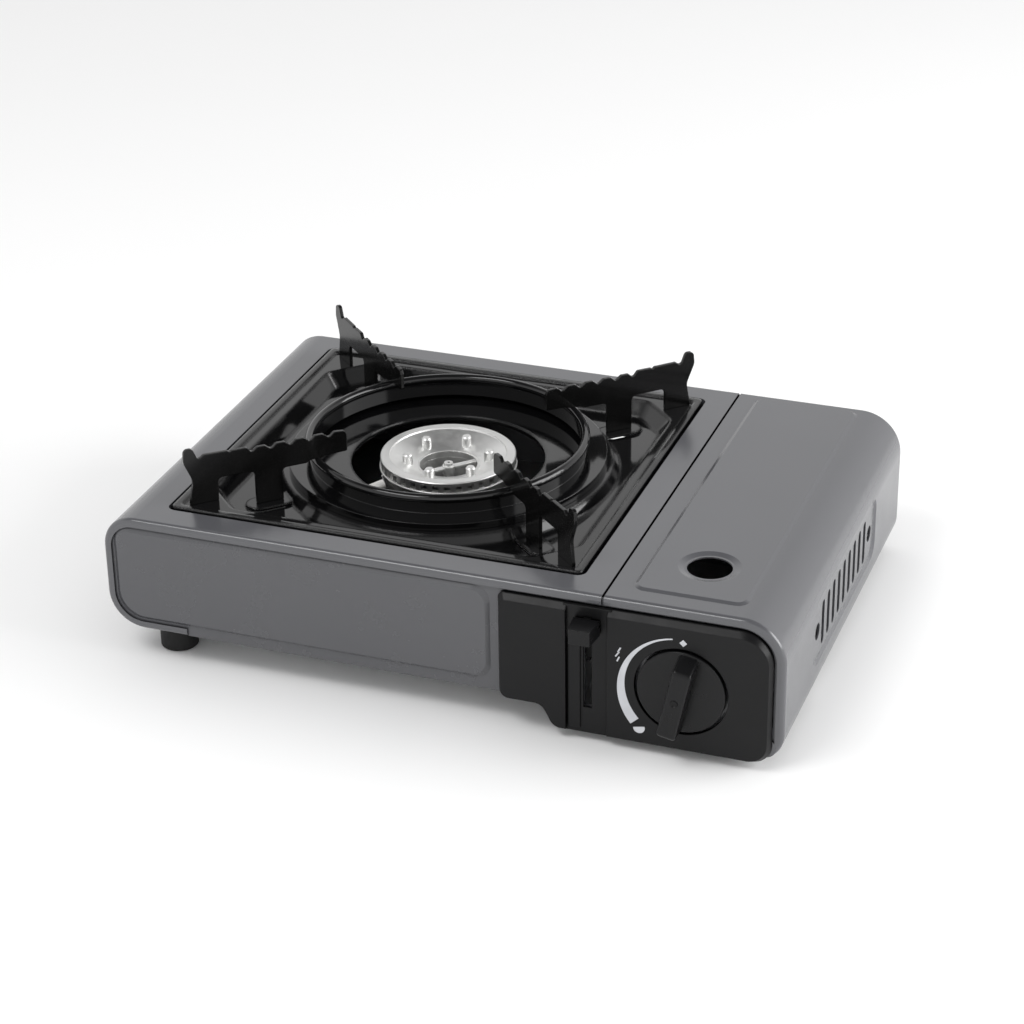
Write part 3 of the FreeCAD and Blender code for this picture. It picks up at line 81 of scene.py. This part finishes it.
class Bench:
    """Small helper that adds and links the nodes of one tree."""

    def __init__(self, tree: bpy.types.NodeTree) -> None:
        """Starts with an empty tree.

        Args:
            tree: Node tree of a material or a world.
        """
        self.tree = tree
        self.tree.nodes.clear()

    def add(self, kind: str) -> bpy.types.Node:
        """Adds a node.

        Args:
            kind: Type name of the node.

        Returns:
            The new node.
        """
        return self.tree.nodes.new(kind)

    def link(self, source: bpy.types.NodeSocket, target: bpy.types.NodeSocket) -> None:
        """Links two sockets.

        Args:
            source: Output that gives the value.
            target: Input that takes it.
        """
        self.tree.links.new(source, target)

    def join(self, operation: str, first: bpy.types.NodeSocket,
             second: bpy.types.NodeSocket) -> bpy.types.NodeSocket:
        """Works out one value from two.

        Args:
            operation: Type name of the calculation.
            first: First value.
            second: Second value.

        Returns:
            The result.
        """
        node = self.add("ShaderNodeMath")
        node.operation = operation
        self.link(first, node.inputs[0])
        self.link(second, node.inputs[1])
        return node.outputs["Value"]

    def spread(self, source: bpy.types.NodeSocket, low: float, high: float,
               from_low: float = 0.3, from_high: float = 0.7) -> bpy.types.NodeSocket:
        """Maps a factor onto a range of values.

        Args:
            source: Factor to map.
            low: Value at the low end.
            high: Value at the high end.
            from_low: Factor that gives the low end.
            from_high: Factor that gives the high end.

        Returns:
            The mapped value.
        """
        node = self.add("ShaderNodeMapRange")
        node.inputs["From Min"].default_value = from_low
        node.inputs["From Max"].default_value = from_high
        node.inputs["To Min"].default_value = low
        node.inputs["To Max"].default_value = high
        self.link(source, node.inputs["Value"])
        return node.outputs["Result"]


class NodeBench(Bench):
    """Bench for the shader nodes of one material."""

    bevel_samples = 6
    openness_samples = 16
    # Near-black colour of the painted shade in seams, slots and gaps.
    shade_black = (0.002, 0.002, 0.002, 1.0)

    def __init__(self, name: str) -> None:
        """Starts an empty node tree with a Principled shader.

        Args:
            name: Name of the material.
        """
        self.material = bpy.data.materials.new(name)
        self.material.use_nodes = True
        super().__init__(self.material.node_tree)
        output = self.add("ShaderNodeOutputMaterial")
        self.shader = self.add("ShaderNodeBsdfPrincipled")
        self.link(self.shader.outputs["BSDF"], output.inputs["Surface"])
        coordinates = self.add("ShaderNodeTexCoord")
        self.position = coordinates.outputs["Object"]

    def noise(self, scale: float, detail: float = 4.0, rough: float = 0.5,
              stretch: tuple[float, float, float] = (1.0, 1.0, 1.0)) -> bpy.types.NodeSocket:
        """Adds fractal noise over the object's own coordinates.

        Args:
            scale: Grains per metre.
            detail: Octaves of the noise.
            rough: Strength of each further octave.
            stretch: Factors along X, Y and Z.

        Returns:
            The factor output.
        """
        mapping = self.add("ShaderNodeMapping")
        mapping.inputs["Scale"].default_value = stretch
        self.link(self.position, mapping.inputs["Vector"])
        noise = self.add("ShaderNodeTexNoise")
        noise.inputs["Scale"].default_value = scale
        noise.inputs["Detail"].default_value = detail
        noise.inputs["Roughness"].default_value = rough
        self.link(mapping.outputs["Vector"], noise.inputs["Vector"])
        return noise.outputs["Fac"]

    def colours(self, factor: bpy.types.NodeSocket, low: tuple[float, float, float],
                high: tuple[float, float, float]) -> bpy.types.NodeSocket:
        """Mixes two colours by a factor.

        Args:
            factor: Factor from 0 to 1.
            low: Colour at 0.
            high: Colour at 1.

        Returns:
            The mixed colour.
        """
        mix = self.add("ShaderNodeMix")
        mix.data_type = "RGBA"
        mix.inputs["A"].default_value = (*low, 1.0)
        mix.inputs["B"].default_value = (*high, 1.0)
        self.link(factor, mix.inputs["Factor"])
        return mix.outputs["Result"]

    def bump(self, height: bpy.types.NodeSocket, strength: float, distance: float,
             under: bpy.types.NodeSocket | None = None) -> bpy.types.NodeSocket:
        """Adds a bump from a height.

        Args:
            height: Height factor.
            strength: Strength of the bump.
            distance: Depth of the bump in metres.
            under: Normal that the bump lies on.

        Returns:
            The bumped normal.
        """
        node = self.add("ShaderNodeBump")
        node.inputs["Strength"].default_value = strength
        node.inputs["Distance"].default_value = distance
        self.link(height, node.inputs["Height"])
        if under is not None:
            self.link(under, node.inputs["Normal"])
        return node.outputs["Normal"]

    def rounded(self, radius: float) -> bpy.types.NodeSocket:
        """Rounds the shading over sharp edges.

        Args:
            radius: Radius of the rounding in metres.

        Returns:
            The rounded normal.
        """
        node = self.add("ShaderNodeBevel")
        node.samples = self.bevel_samples
        node.inputs["Radius"].default_value = radius
        return node.outputs["Normal"]

    def openness(self, distance: float) -> bpy.types.NodeSocket:
        """Measures how much open space lies round a point.

        Args:
            distance: How far it looks, in metres.

        Returns:
            The share, from 0 in a narrow gap to 1 on a free face.
        """
        node = self.add("ShaderNodeAmbientOcclusion")
        node.samples = self.openness_samples
        node.inputs["Distance"].default_value = distance
        return node.outputs["AO"]

    def paint_shade(self, share: bpy.types.NodeSocket,
             colour: bpy.types.NodeSocket) -> bpy.types.NodeSocket:
        """Paints shade: darkens a colour down to black by a share.

        Args:
            share: 1 keeps the colour and 0 gives black.
            colour: The colour.

        Returns:
            The darkened colour.
        """
        mix = self.add("ShaderNodeMix")
        mix.data_type = "RGBA"
        mix.inputs["A"].default_value = self.shade_black
        self.link(share, mix.inputs["Factor"])
        self.link(colour, mix.inputs["B"])
        return mix.outputs["Result"]


@dataclass(frozen=True)
class Finish:
    """Base of every finish: colour range, roughness range and metallic share."""

    name: str
    low: tuple[float, float, float]
    high: tuple[float, float, float]
    rough_low: float
    rough_high: float
    metallic: float = 0.0
    cloud_scale: float = 30.0
    grain_scale: float = 1800.0
    grain_strength: float = 0.15
    grain_depth: float = 0.00005
    specular: float = 0.5
    edge: float = 0.25
    # Reach in millimetres of the shade painted into seams, slots and gaps; 0 paints none.
    crevice_shade: float = 0.0

    def make(self) -> bpy.types.Material:
        """Builds the material with clouded colour, uneven gloss and a fine grain.

        Returns:
            The material.
        """
        bench = NodeBench(self.name)
        cloud = bench.noise(self.cloud_scale, 5.0, 0.55)
        bench.link(bench.colours(bench.spread(cloud, 0.0, 1.0), self.low, self.high),
                   bench.shader.inputs["Base Color"])
        wear = bench.noise(self.cloud_scale * 4.0, 6.0, 0.65)
        bench.link(bench.spread(wear, self.rough_low, self.rough_high),
                   bench.shader.inputs["Roughness"])
        bench.shader.inputs["Metallic"].default_value = self.metallic
        bench.shader.inputs["Specular IOR Level"].default_value = self.specular
        grain = bench.noise(self.grain_scale, 3.0, 0.6)
        normal = bench.bump(grain, self.grain_strength, self.grain_depth,
                            bench.rounded(self.edge * MM))
        self.detail(bench, normal)
        # Painted shade: seams, slots and gaps get darker colour and less gloss.
        if self.crevice_shade > 0.0:
            self.paint_crevice_shade(bench)
        return bench.material

    def paint_crevice_shade(self, bench: NodeBench) -> None:
        """Paints shade into seams, slots and pressed lines: colour and gloss go down towards black
        where little open space lies round a point.

        Args:
            bench: The material's nodes.
        """
        open_share = bench.openness(self.crevice_shade * MM)
        plain = bench.shader.inputs["Base Color"].links[0].from_socket
        bench.link(bench.paint_shade(bench.spread(open_share, 0.0, 1.0, 0.45, 0.8), plain),
                   bench.shader.inputs["Base Color"])
        bench.link(bench.spread(open_share, 0.0, self.specular, 0.4, 0.75),
                   bench.shader.inputs["Specular IOR Level"])

    def detail(self, bench: NodeBench, normal: bpy.types.NodeSocket) -> None:
        """Finishes the surface normal; a finish with more detail adds it here.

        Args:
            bench: The material's nodes.
            normal: Normal with the fine grain.
        """
        bench.link(normal, bench.shader.inputs["Normal"])


@dataclass(frozen=True)
class SatinPaint(Finish):
    """Stoved satin paint with a slight orange peel."""

    peel_scale: float = 420.0
    peel_strength: float = 0.06
    peel_depth: float = 0.0001

    def detail(self, bench: NodeBench, normal: bpy.types.NodeSocket) -> None:
        """Adds the orange peel over the grain.

        Args:
            bench: The material's nodes.
            normal: Normal with the fine grain.
        """
        peel = bench.noise(self.peel_scale, 2.0, 0.4)
        bench.link(bench.bump(peel, self.peel_strength, self.peel_depth, normal),
                   bench.shader.inputs["Normal"])


@dataclass(frozen=True)
class TurnedMetal(Finish):
    """Metal with tool marks that run round the burner's axis."""

    centre: tuple[float, float] = (0.0, 0.0)
    ring_scale: float = 900.0
    ring_strength: float = 0.12
    ring_depth: float = 0.00004

    def detail(self, bench: NodeBench, normal: bpy.types.NodeSocket) -> None:
        """Adds fine rings about the turning axis.

        Args:
            bench: The material's nodes.
            normal: Normal with the fine grain.
        """
        mapping = bench.add("ShaderNodeMapping")
        mapping.inputs["Location"].default_value = (-self.centre[0], -self.centre[1], 0.0)
        bench.link(bench.position, mapping.inputs["Vector"])
        wave = bench.add("ShaderNodeTexWave")
        wave.wave_type = "RINGS"
        wave.rings_direction = "Z"
        wave.inputs["Scale"].default_value = self.ring_scale
        wave.inputs["Distortion"].default_value = 1.2
        wave.inputs["Detail"].default_value = 2.0
        wave.inputs["Detail Scale"].default_value = 1.5
        bench.link(mapping.outputs["Vector"], wave.inputs["Vector"])
        bench.link(bench.bump(wave.outputs["Fac"], self.ring_strength, self.ring_depth, normal),
                   bench.shader.inputs["Normal"])


@dataclass(frozen=True)
class RolledSteel(Finish):
    """Plated sheet steel with drawn rolling lines along one direction."""

    stretch: tuple[float, float, float] = (1.0, 40.0, 40.0)
    line_scale: float = 60.0
    line_strength: float = 0.15
    line_depth: float = 0.00004

    def detail(self, bench: NodeBench, normal: bpy.types.NodeSocket) -> None:
        """Adds long fine scratches along the rolling direction.

        Args:
            bench: The material's nodes.
            normal: Normal with the fine grain.
        """
        lines = bench.noise(self.line_scale, 4.0, 0.6, self.stretch)
        bench.link(bench.bump(lines, self.line_strength, self.line_depth, normal),
                   bench.shader.inputs["Normal"])


@dataclass(frozen=True)
class WovenSleeve(Finish):
    """Braided glass-fibre sleeve of the ignition lead."""

    strand_scale: float = 1400.0
    strand_strength: float = 0.4
    strand_depth: float = 0.0002

    def detail(self, bench: NodeBench, normal: bpy.types.NodeSocket) -> None:
        """Adds the crossing strands of the braid.

        Args:
            bench: The material's nodes.
            normal: Normal with the fine grain.
        """
        strands = bench.add("ShaderNodeTexVoronoi")
        strands.inputs["Scale"].default_value = self.strand_scale
        bench.link(bench.position, strands.inputs["Vector"])
        braid = bench.bump(strands.outputs["Distance"], self.strand_strength, self.strand_depth, normal)
        bench.link(braid, bench.shader.inputs["Normal"])


def finishes() -> dict[str, Finish]:
    """Every finish of the stove by the record's material slot.

    Returns:
        The finishes by slot name.
    """
    burner = (-37.0 * MM, (FRONT_Y + 120.2) * MM)
    return {
        # body_paint, control_plastic and knob_plastic get painted shade in their seams, slots and gaps
        # through their crevice setting.
        "body_paint": SatinPaint(
            "satin_grey_paint", (0.084, 0.085, 0.093), (0.089, 0.09, 0.098), 0.2, 0.25,
            metallic=0.05, cloud_scale=9.0, grain_strength=0.04, specular=0.85, edge=0.3,
            crevice_shade=2.4),
        "panel_paint": SatinPaint(
            "satin_dark_paint", (0.078, 0.079, 0.086), (0.083, 0.084, 0.091), 0.24, 0.29,
            metallic=0.05, cloud_scale=9.0, grain_strength=0.04, specular=0.7, edge=0.3),
        "plain_steel": RolledSteel(
            "plated_sheet", (0.42, 0.43, 0.44), (0.5, 0.5, 0.5), 0.3, 0.45, metallic=1.0),
        "control_plastic": Finish(
            "moulded_black", (0.006, 0.006, 0.0065), (0.008, 0.008, 0.0085), 0.3, 0.38,
            grain_strength=0.05, specular=0.22, edge=0.8, crevice_shade=2.6),
        "knob_plastic": Finish(
            "moulded_black_knob", (0.005, 0.005, 0.0055), (0.007, 0.007, 0.0075), 0.26, 0.34,
            grain_strength=0.05, specular=0.26, edge=0.9, crevice_shade=2.0),
        "pan_enamel": Finish(
            "black_pan_enamel", (0.003, 0.003, 0.0032), (0.0045, 0.0045, 0.005), 0.05, 0.12,
            grain_scale=90.0, grain_strength=0.03, grain_depth=0.0002, specular=0.5, edge=2.2),
        "enamel": Finish(
            "black_enamel", (0.003, 0.003, 0.0032), (0.0045, 0.0045, 0.005), 0.06, 0.13,
            grain_scale=90.0, grain_strength=0.03, grain_depth=0.0002, specular=0.55, edge=0.6),
        "arm_enamel": Finish(
            "black_arm_enamel", (0.003, 0.003, 0.003), (0.0045, 0.0045, 0.0045), 0.14, 0.2,
            grain_scale=120.0, grain_strength=0.03, grain_depth=0.0001, specular=0.36, edge=0.6),
        "burner_metal": TurnedMetal(
            "turned_burner_metal", (0.74, 0.74, 0.73), (0.86, 0.86, 0.85), 0.36, 0.48,
            metallic=1.0, cloud_scale=60.0, centre=burner, edge=0.3),
        "tube_steel": RolledSteel(
            "tube_steel", (0.62, 0.62, 0.62), (0.74, 0.74, 0.73), 0.3, 0.42, metallic=1.0),
        "brass": TurnedMetal(
            "brass", (0.6, 0.42, 0.18), (0.7, 0.5, 0.23), 0.25, 0.35, metallic=1.0),
        "cast_zinc": Finish(
            "cast_zinc", (0.4, 0.4, 0.41), (0.48, 0.48, 0.49), 0.42, 0.6, metallic=0.9,
            grain_scale=900.0, grain_strength=0.5),
        "screw_steel": RolledSteel(
            "plated_screws", (0.5, 0.5, 0.51), (0.62, 0.62, 0.62), 0.22, 0.34, metallic=1.0),
        "seal_rubber": Finish(
            "seal_rubber", (0.012, 0.012, 0.012), (0.02, 0.02, 0.02), 0.55, 0.7, specular=0.3),
        "piezo_plastic": Finish(
            "ivory_plastic", (0.6, 0.59, 0.54), (0.68, 0.67, 0.62), 0.3, 0.4),
        "porcelain": Finish(
            "glazed_porcelain", (0.68, 0.67, 0.65), (0.76, 0.75, 0.73), 0.14, 0.24,
            grain_strength=0.05),
        "lead_sleeve": WovenSleeve(
            "woven_sleeve", (0.42, 0.4, 0.37), (0.52, 0.5, 0.46), 0.6, 0.8),
        "heat_alloy": RolledSteel(
            "rolled_alloy", (0.56, 0.56, 0.57), (0.64, 0.64, 0.65), 0.28, 0.4, metallic=1.0),
        "foot_rubber": Finish(
            "foot_rubber", (0.01, 0.01, 0.01), (0.016, 0.016, 0.016), 0.6, 0.75,
            grain_scale=1500.0, grain_strength=0.4, specular=0.3, edge=0.6),
        # Blacked steel of the lever plate, darkened further to near black as painted shade for the
        # shadow in its channel.
        "blacked_steel_and_shade": Finish(
            "blacked_steel_and_shade", (0.004, 0.004, 0.004), (0.007, 0.007, 0.007), 0.5, 0.65,
            specular=0.12),
    }


@dataclass
class Wardrobe:
    """Dresses the carried-over nodes with their finishes."""

    frame: dict
    # The lever plate takes the near-black finish that also paints the shade in its channel.
    others: tuple[tuple[str, str], ...] = (
        ("lever_plate", "blacked_steel_and_shade"), ("support_arm", "arm_enamel"), ("drip_pan", "pan_enamel"))
    materials: dict[str, bpy.types.Material] = field(default_factory=dict)

    def dress(self) -> None:
        """Gives every node the finish of its slot, and a few nodes a finish of their own."""
        slots = {part["node"]: part["material_slot"] for part in self.frame["record"]["subparts"]}
        known = finishes()
        for node, piece in self.frame["nodes"].items():
            slot = next((finish for start, finish in self.others if node.startswith(start)),
                        slots[node])
            if slot not in self.materials:
                self.materials[slot] = known[slot].make()
            piece.data.materials.clear()
            piece.data.materials.append(self.materials[slot])
            LOG.info("dressed %s in %s", node, slot)


class Modeller:
    """Common steps of modelling a new piece with the mesh operators."""

    @staticmethod
    def clear() -> None:
        """Deselects everything and leaves edit mode."""
        if bpy.context.object is not None and bpy.context.object.mode != "OBJECT":
            bpy.ops.object.mode_set(mode="OBJECT")
        bpy.ops.object.select_all(action="DESELECT")

    @staticmethod
    def settle(piece: bpy.types.Object, name: str) -> bpy.types.Object:
        """Names a piece and moves its place into its mesh.

        Args:
            piece: The modelled object.
            name: Name of the piece.

        Returns:
            The same object at the origin.
        """
        Modeller.clear()
        piece.name = name
        piece.data.name = name
        piece.select_set(True)
        bpy.context.view_layer.objects.active = piece
        bpy.ops.object.transform_apply(location=True, rotation=True, scale=True)
        return piece

    @staticmethod
    def disc(centre: Vector, radius: float, depth: float, sides: int) -> bpy.types.Object:
        """Adds a round slab that faces the front.

        Args:
            centre: Middle of the slab.
            radius: Radius in metres.
            depth: Thickness in metres.
            sides: Number of sides.

        Returns:
            The new object.
        """
        Modeller.clear()
        bpy.ops.mesh.primitive_cylinder_add(vertices=sides, radius=radius, depth=depth,
                                            location=centre, rotation=FACING_FRONT)
        return bpy.context.object

    @staticmethod
    def subtract(piece: bpy.types.Object, tool: bpy.types.Object) -> None:
        """Cuts one object out of another and removes the tool.

        Args:
            piece: Object that is cut.
            tool: Object that cuts.
        """
        Modeller.clear()
        cut = piece.modifiers.new("cut", "BOOLEAN")
        cut.operation = "DIFFERENCE"
        cut.solver = "EXACT"
        cut.object = tool
        bpy.context.view_layer.objects.active = piece
        piece.select_set(True)
        bpy.ops.object.modifier_apply(modifier=cut.name)
        bpy.data.objects.remove(tool)

    @staticmethod
    def keep_side(piece: bpy.types.Object, point: Vector, normal: Vector) -> None:
        """Cuts a piece along a plane, closes it and keeps the side that the normal points away from.

        Args:
            piece: Object that is cut.
            point: Point on the plane.
            normal: Direction of the side that goes.
        """
        Modeller.clear()
        piece.select_set(True)
        bpy.context.view_layer.objects.active = piece
        bpy.ops.object.mode_set(mode="EDIT")
        bpy.ops.mesh.select_all(action="SELECT")
        bpy.ops.mesh.bisect(plane_co=point, plane_no=normal, use_fill=True, clear_outer=True)
        bpy.ops.object.mode_set(mode="OBJECT")


@dataclass
class ControlMarks:
    """White printed marks on the control panel: heat crescent, off dot, full mark and spark."""

    knob_x: float = 126.2
    knob_z: float = 37.1
    face_depth: float = -4.0
    ink: float = 0.06
    sunk: float = 0.01
    inner_r: float = 27.6
    outer_r: float = 30.86
    offset: float = 2.71
    offset_angle: float = 170.0
    thin_angle: float = 9.0
    thick_angle: float = 132.0
    band_sides: int = 160
    dot_place: tuple[float, float] = (126.95, 63.4)
    dot_size: float = 2.7
    dot_corner: float = 0.75
    full_place: tuple[float, float] = (105.9, 13.5)
    full_r: float = 2.9
    full_height: float = 0.6
    full_lean: tuple[float, float, float] = (-0.2, 0.0, 1.0)
    full_sides: int = 64
    spark_place: tuple[float, float] = (95.5, 51.8)
    spark_width: float = 0.75
    spark_bars: tuple[tuple[float, float, float, float], ...] = (
        (0.4, 2.4, 28.0, 3.0), (-0.5, 0.0, 34.0, 3.4), (-0.1, -2.6, 24.0, 2.8))

    def on_face(self, x: float, z: float) -> Vector:
        """A point in the middle of the ink film.

        Args:
            x: Distance to the right of the middle, in millimetres.
            z: Height over the floor, in millimetres.

        Returns:
            The point in the scene.
        """
        return place(x, self.face_depth - self.ink / 2.0 + self.sunk, z)

    def from_up(self, degrees: float) -> Vector:
        """Direction on the panel, counted counterclockwise from straight up.

        Args:
            degrees: The angle.

        Returns:
            The unit vector.
        """
        angle = math.radians(degrees)
        return Vector((-math.sin(angle), 0.0, math.cos(angle)))

    def crescent(self) -> bpy.types.Object:
        """Models the band that widens with the heat.

        Returns:
            The crescent.
        """
        middle = self.on_face(self.knob_x, self.knob_z)
        shift = self.from_up(self.offset_angle) * self.offset * MM
        band = Modeller.disc(middle + shift, self.outer_r * MM, self.ink * MM, self.band_sides)
        Modeller.subtract(band, Modeller.disc(middle, self.inner_r * MM, MM, self.band_sides))
        band = Modeller.settle(band, "heat_crescent")
        Modeller.keep_side(band, middle, self.from_up(self.thin_angle - 90.0))
        Modeller.keep_side(band, middle, self.from_up(self.thick_angle + 90.0))
        return band

    def off_dot(self) -> bpy.types.Object:
        """Models the small rounded square of the off place.

        Returns:
            The square.
        """
        Modeller.clear()
        bpy.ops.mesh.primitive_cube_add(size=1.0, location=self.on_face(*self.dot_place),
                                        rotation=(0.0, math.radians(45.0), 0.0),
                                        scale=(self.dot_size * MM, self.ink * MM,
                                               self.dot_size * MM))
        dot = Modeller.settle(bpy.context.object, "off_dot")
        return self.round_corners(dot, self.dot_corner)

    def round_corners(self, mark: bpy.types.Object, radius: float) -> bpy.types.Object:
        """Rounds the corners that run through the ink.

        Args:
            mark: The mark.
            radius: Corner radius in millimetres.

        Returns:
            The mark.
        """
        Modeller.clear()
        mark.select_set(True)
        bpy.context.view_layer.objects.active = mark
        for edge in mark.data.edges:
            first, second = (mark.data.vertices[index].co for index in edge.vertices)
            edge.select = abs((first - second).normalized().y) > 0.9
        bpy.ops.object.mode_set(mode="EDIT")
        bpy.ops.mesh.select_mode(type="EDGE")
        bpy.ops.mesh.bevel(offset=radius * MM, segments=4, affect="EDGES", clamp_overlap=True)
        bpy.ops.object.mode_set(mode="OBJECT")
        return mark

    def full_mark(self) -> bpy.types.Object:
        """Models the half-round mark at the wide end of the crescent.

        Returns:
            The mark.
        """
        centre = self.on_face(*self.full_place)
        slab = Modeller.disc(centre, self.full_r * MM, self.ink * MM, self.full_sides)
        mark = Modeller.settle(slab, "full_mark")
        Modeller.keep_side(mark, centre + Vector((0.0, 0.0, self.full_height * MM)),
                           Vector(self.full_lean))
        return mark

    def spark(self) -> bpy.types.Object:
        """Models the small zigzag of the ignition place from slanted bars.

        Returns:
            The zigzag.
        """
        Modeller.clear()
        bars = []
        x, z = self.spark_place
        for dx, dz, lean, length in self.spark_bars:
            bpy.ops.mesh.primitive_cube_add(size=1.0, location=self.on_face(x + dx, z + dz),
                                            rotation=(0.0, math.radians(lean), 0.0),
                                            scale=(self.spark_width * MM, self.ink * MM,
                                                   length * MM))
            bars.append(bpy.context.object)
        Modeller.clear()
        for bar in bars:
            bar.select_set(True)
        bpy.context.view_layer.objects.active = bars[0]
        bpy.ops.object.join()
        return Modeller.settle(bars[0], "spark_mark")

    def build(self) -> None:
        """Models the marks, inks them and fixes them to the body."""
        ink = Finish("white_print", (0.56, 0.57, 0.6), (0.64, 0.65, 0.68), 0.4, 0.5,
                     cloud_scale=120.0).make()
        for mark in (self.crescent(), self.off_dot(), self.full_mark(), self.spark()):
            mark.data.materials.clear()
            mark.data.materials.append(ink)
            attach(mark, "body")
            LOG.info("printed %s", mark.name)


@dataclass(frozen=True)
class Softbox:
    """Soft rectangular lamp: its place, the point that it faces, its size and its watts."""

    name: str
    at: tuple[float, float, float]
    to: tuple[float, float, float]
    size: tuple[float, float]
    power: float

    def hang(self) -> None:
        """Adds the lamp to the scene."""
        data = bpy.data.lights.new(self.name, "AREA")
        data.shape = "RECTANGLE"
        data.size, data.size_y = self.size
        data.energy = self.power
        lamp = bpy.data.objects.new(self.name, data)
        lamp.location = self.at
        way = Vector(self.to) - Vector(self.at)
        lamp.rotation_euler = way.to_track_quat("-Z", "Y").to_euler()
        bpy.context.scene.collection.objects.link(lamp)


@dataclass
class Studio:
    """Camera, lamps, floor and background."""

    focal: float = 96.254
    azimuth: float = 20.29
    elevation: float = 27.22
    roll: float = -0.84
    position: tuple[float, float, float] = (433.4, -1168.65, 701.3)
    shift: tuple[float, float] = (-0.0007, -0.0102)
    sky: float = 0.76
    ceiling: float = 0.12
    backdrop_start: float = 0.52
    backdrop_end: float = 0.8
    floor_size: float = 12.0
    floor_drop: float = 0.0002
    softboxes: tuple[Softbox, ...] = (
        Softbox("right_softbox", (1.6, 0.3, 0.7), (0.1, 0.0, 0.03), (1.4, 1.0), 22.0),
        Softbox("top_softbox", (-0.5, -0.8, 1.45), (0.0, 0.0, 0.05), (0.9, 0.45), 8.0))

    def camera(self) -> None:
        """Places the camera that matches the photograph's view."""
        a, e, r = (math.radians(value) for value in (self.azimuth, self.elevation, self.roll))
        back = Vector((math.sin(a) * math.cos(e), -math.cos(a) * math.cos(e), math.sin(e)))
        right = Vector((0.0, 0.0, 1.0)).cross(back).normalized()
        up = back.cross(right)
        turned_right = right * math.cos(r) + up * math.sin(r)
        turned_up = up * math.cos(r) - right * math.sin(r)
        matrix = Matrix((turned_right, turned_up, back)).transposed().to_4x4()
        matrix.translation = Vector(self.position) * MM
        data = bpy.data.cameras.new("camera")
        data.sensor_width = 36.0
        data.lens = self.focal
        data.shift_x, data.shift_y = self.shift
        data.clip_start = 0.01
        data.clip_end = 30.0
        camera = bpy.data.objects.new("camera", data)
        camera.matrix_world = matrix
        bpy.context.scene.collection.objects.link(camera)
        bpy.context.scene.camera = camera

    def background(self) -> None:
        """Lights the world evenly, white up to the ceiling, which reflections show darker."""
        world = bpy.data.worlds.new("studio")
        bpy.context.scene.world = world
        world.use_nodes = True
        bench = Bench(world.node_tree)
        direction = bench.add("ShaderNodeTexCoord")
        split = bench.add("ShaderNodeSeparateXYZ")
        bench.link(direction.outputs["Generated"], split.inputs["Vector"])
        rays = bench.add("ShaderNodeLightPath")
        mirrored = bench.join("MAXIMUM", rays.outputs["Is Glossy Ray"],
                              rays.outputs["Is Transmission Ray"])
        low = bench.spread(split.outputs["Z"], 1.0, 0.0, self.backdrop_start, self.backdrop_end)
        backdrop = bench.join("MULTIPLY", mirrored, low)
        output = bench.add("ShaderNodeOutputWorld")
        soft = bench.add("ShaderNodeBackground")
        bench.link(bench.spread(mirrored, self.sky, self.ceiling, 0.0, 1.0), soft.inputs["Strength"])
        white = bench.add("ShaderNodeBackground")
        for shader in (soft, white):
            shader.inputs["Color"].default_value = (1.0, 1.0, 1.0, 1.0)
        mix = bench.add("ShaderNodeMixShader")
        bench.link(bench.join("MAXIMUM", rays.outputs["Is Camera Ray"], backdrop), mix.inputs["Fac"])
        bench.link(soft.outputs["Background"], mix.inputs[1])
        bench.link(white.outputs["Background"], mix.inputs[2])
        bench.link(mix.outputs["Shader"], output.inputs["Surface"])

    def floor(self) -> None:
        """Lays the pale floor."""
        Modeller.clear()
        bpy.ops.mesh.primitive_plane_add(size=self.floor_size, location=(0.0, 0.0, -self.floor_drop))
        floor = Modeller.settle(bpy.context.object, "floor")
        paper = Finish("pale_floor", (0.93, 0.93, 0.93), (0.94, 0.94, 0.94), 0.85, 0.9,
                       cloud_scale=2.0, grain_strength=0.02, specular=0.1)
        floor.data.materials.append(paper.make())

    def build(self) -> None:
        """Sets the view, the light and the floor."""
        self.camera()
        self.background()
        self.floor()
        for softbox in self.softboxes:
            softbox.hang()
        bpy.context.scene.view_settings.view_transform = "Standard"
        LOG.info("studio is set")


def main() -> None:
    """Builds the scene in order."""
    logging.basicConfig(level=logging.INFO, format="%(name)s: %(message)s")
    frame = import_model()
    Studio().build()
    Wardrobe(frame).dress()
    ControlMarks().build()


if __name__ == "__main__":
    main()
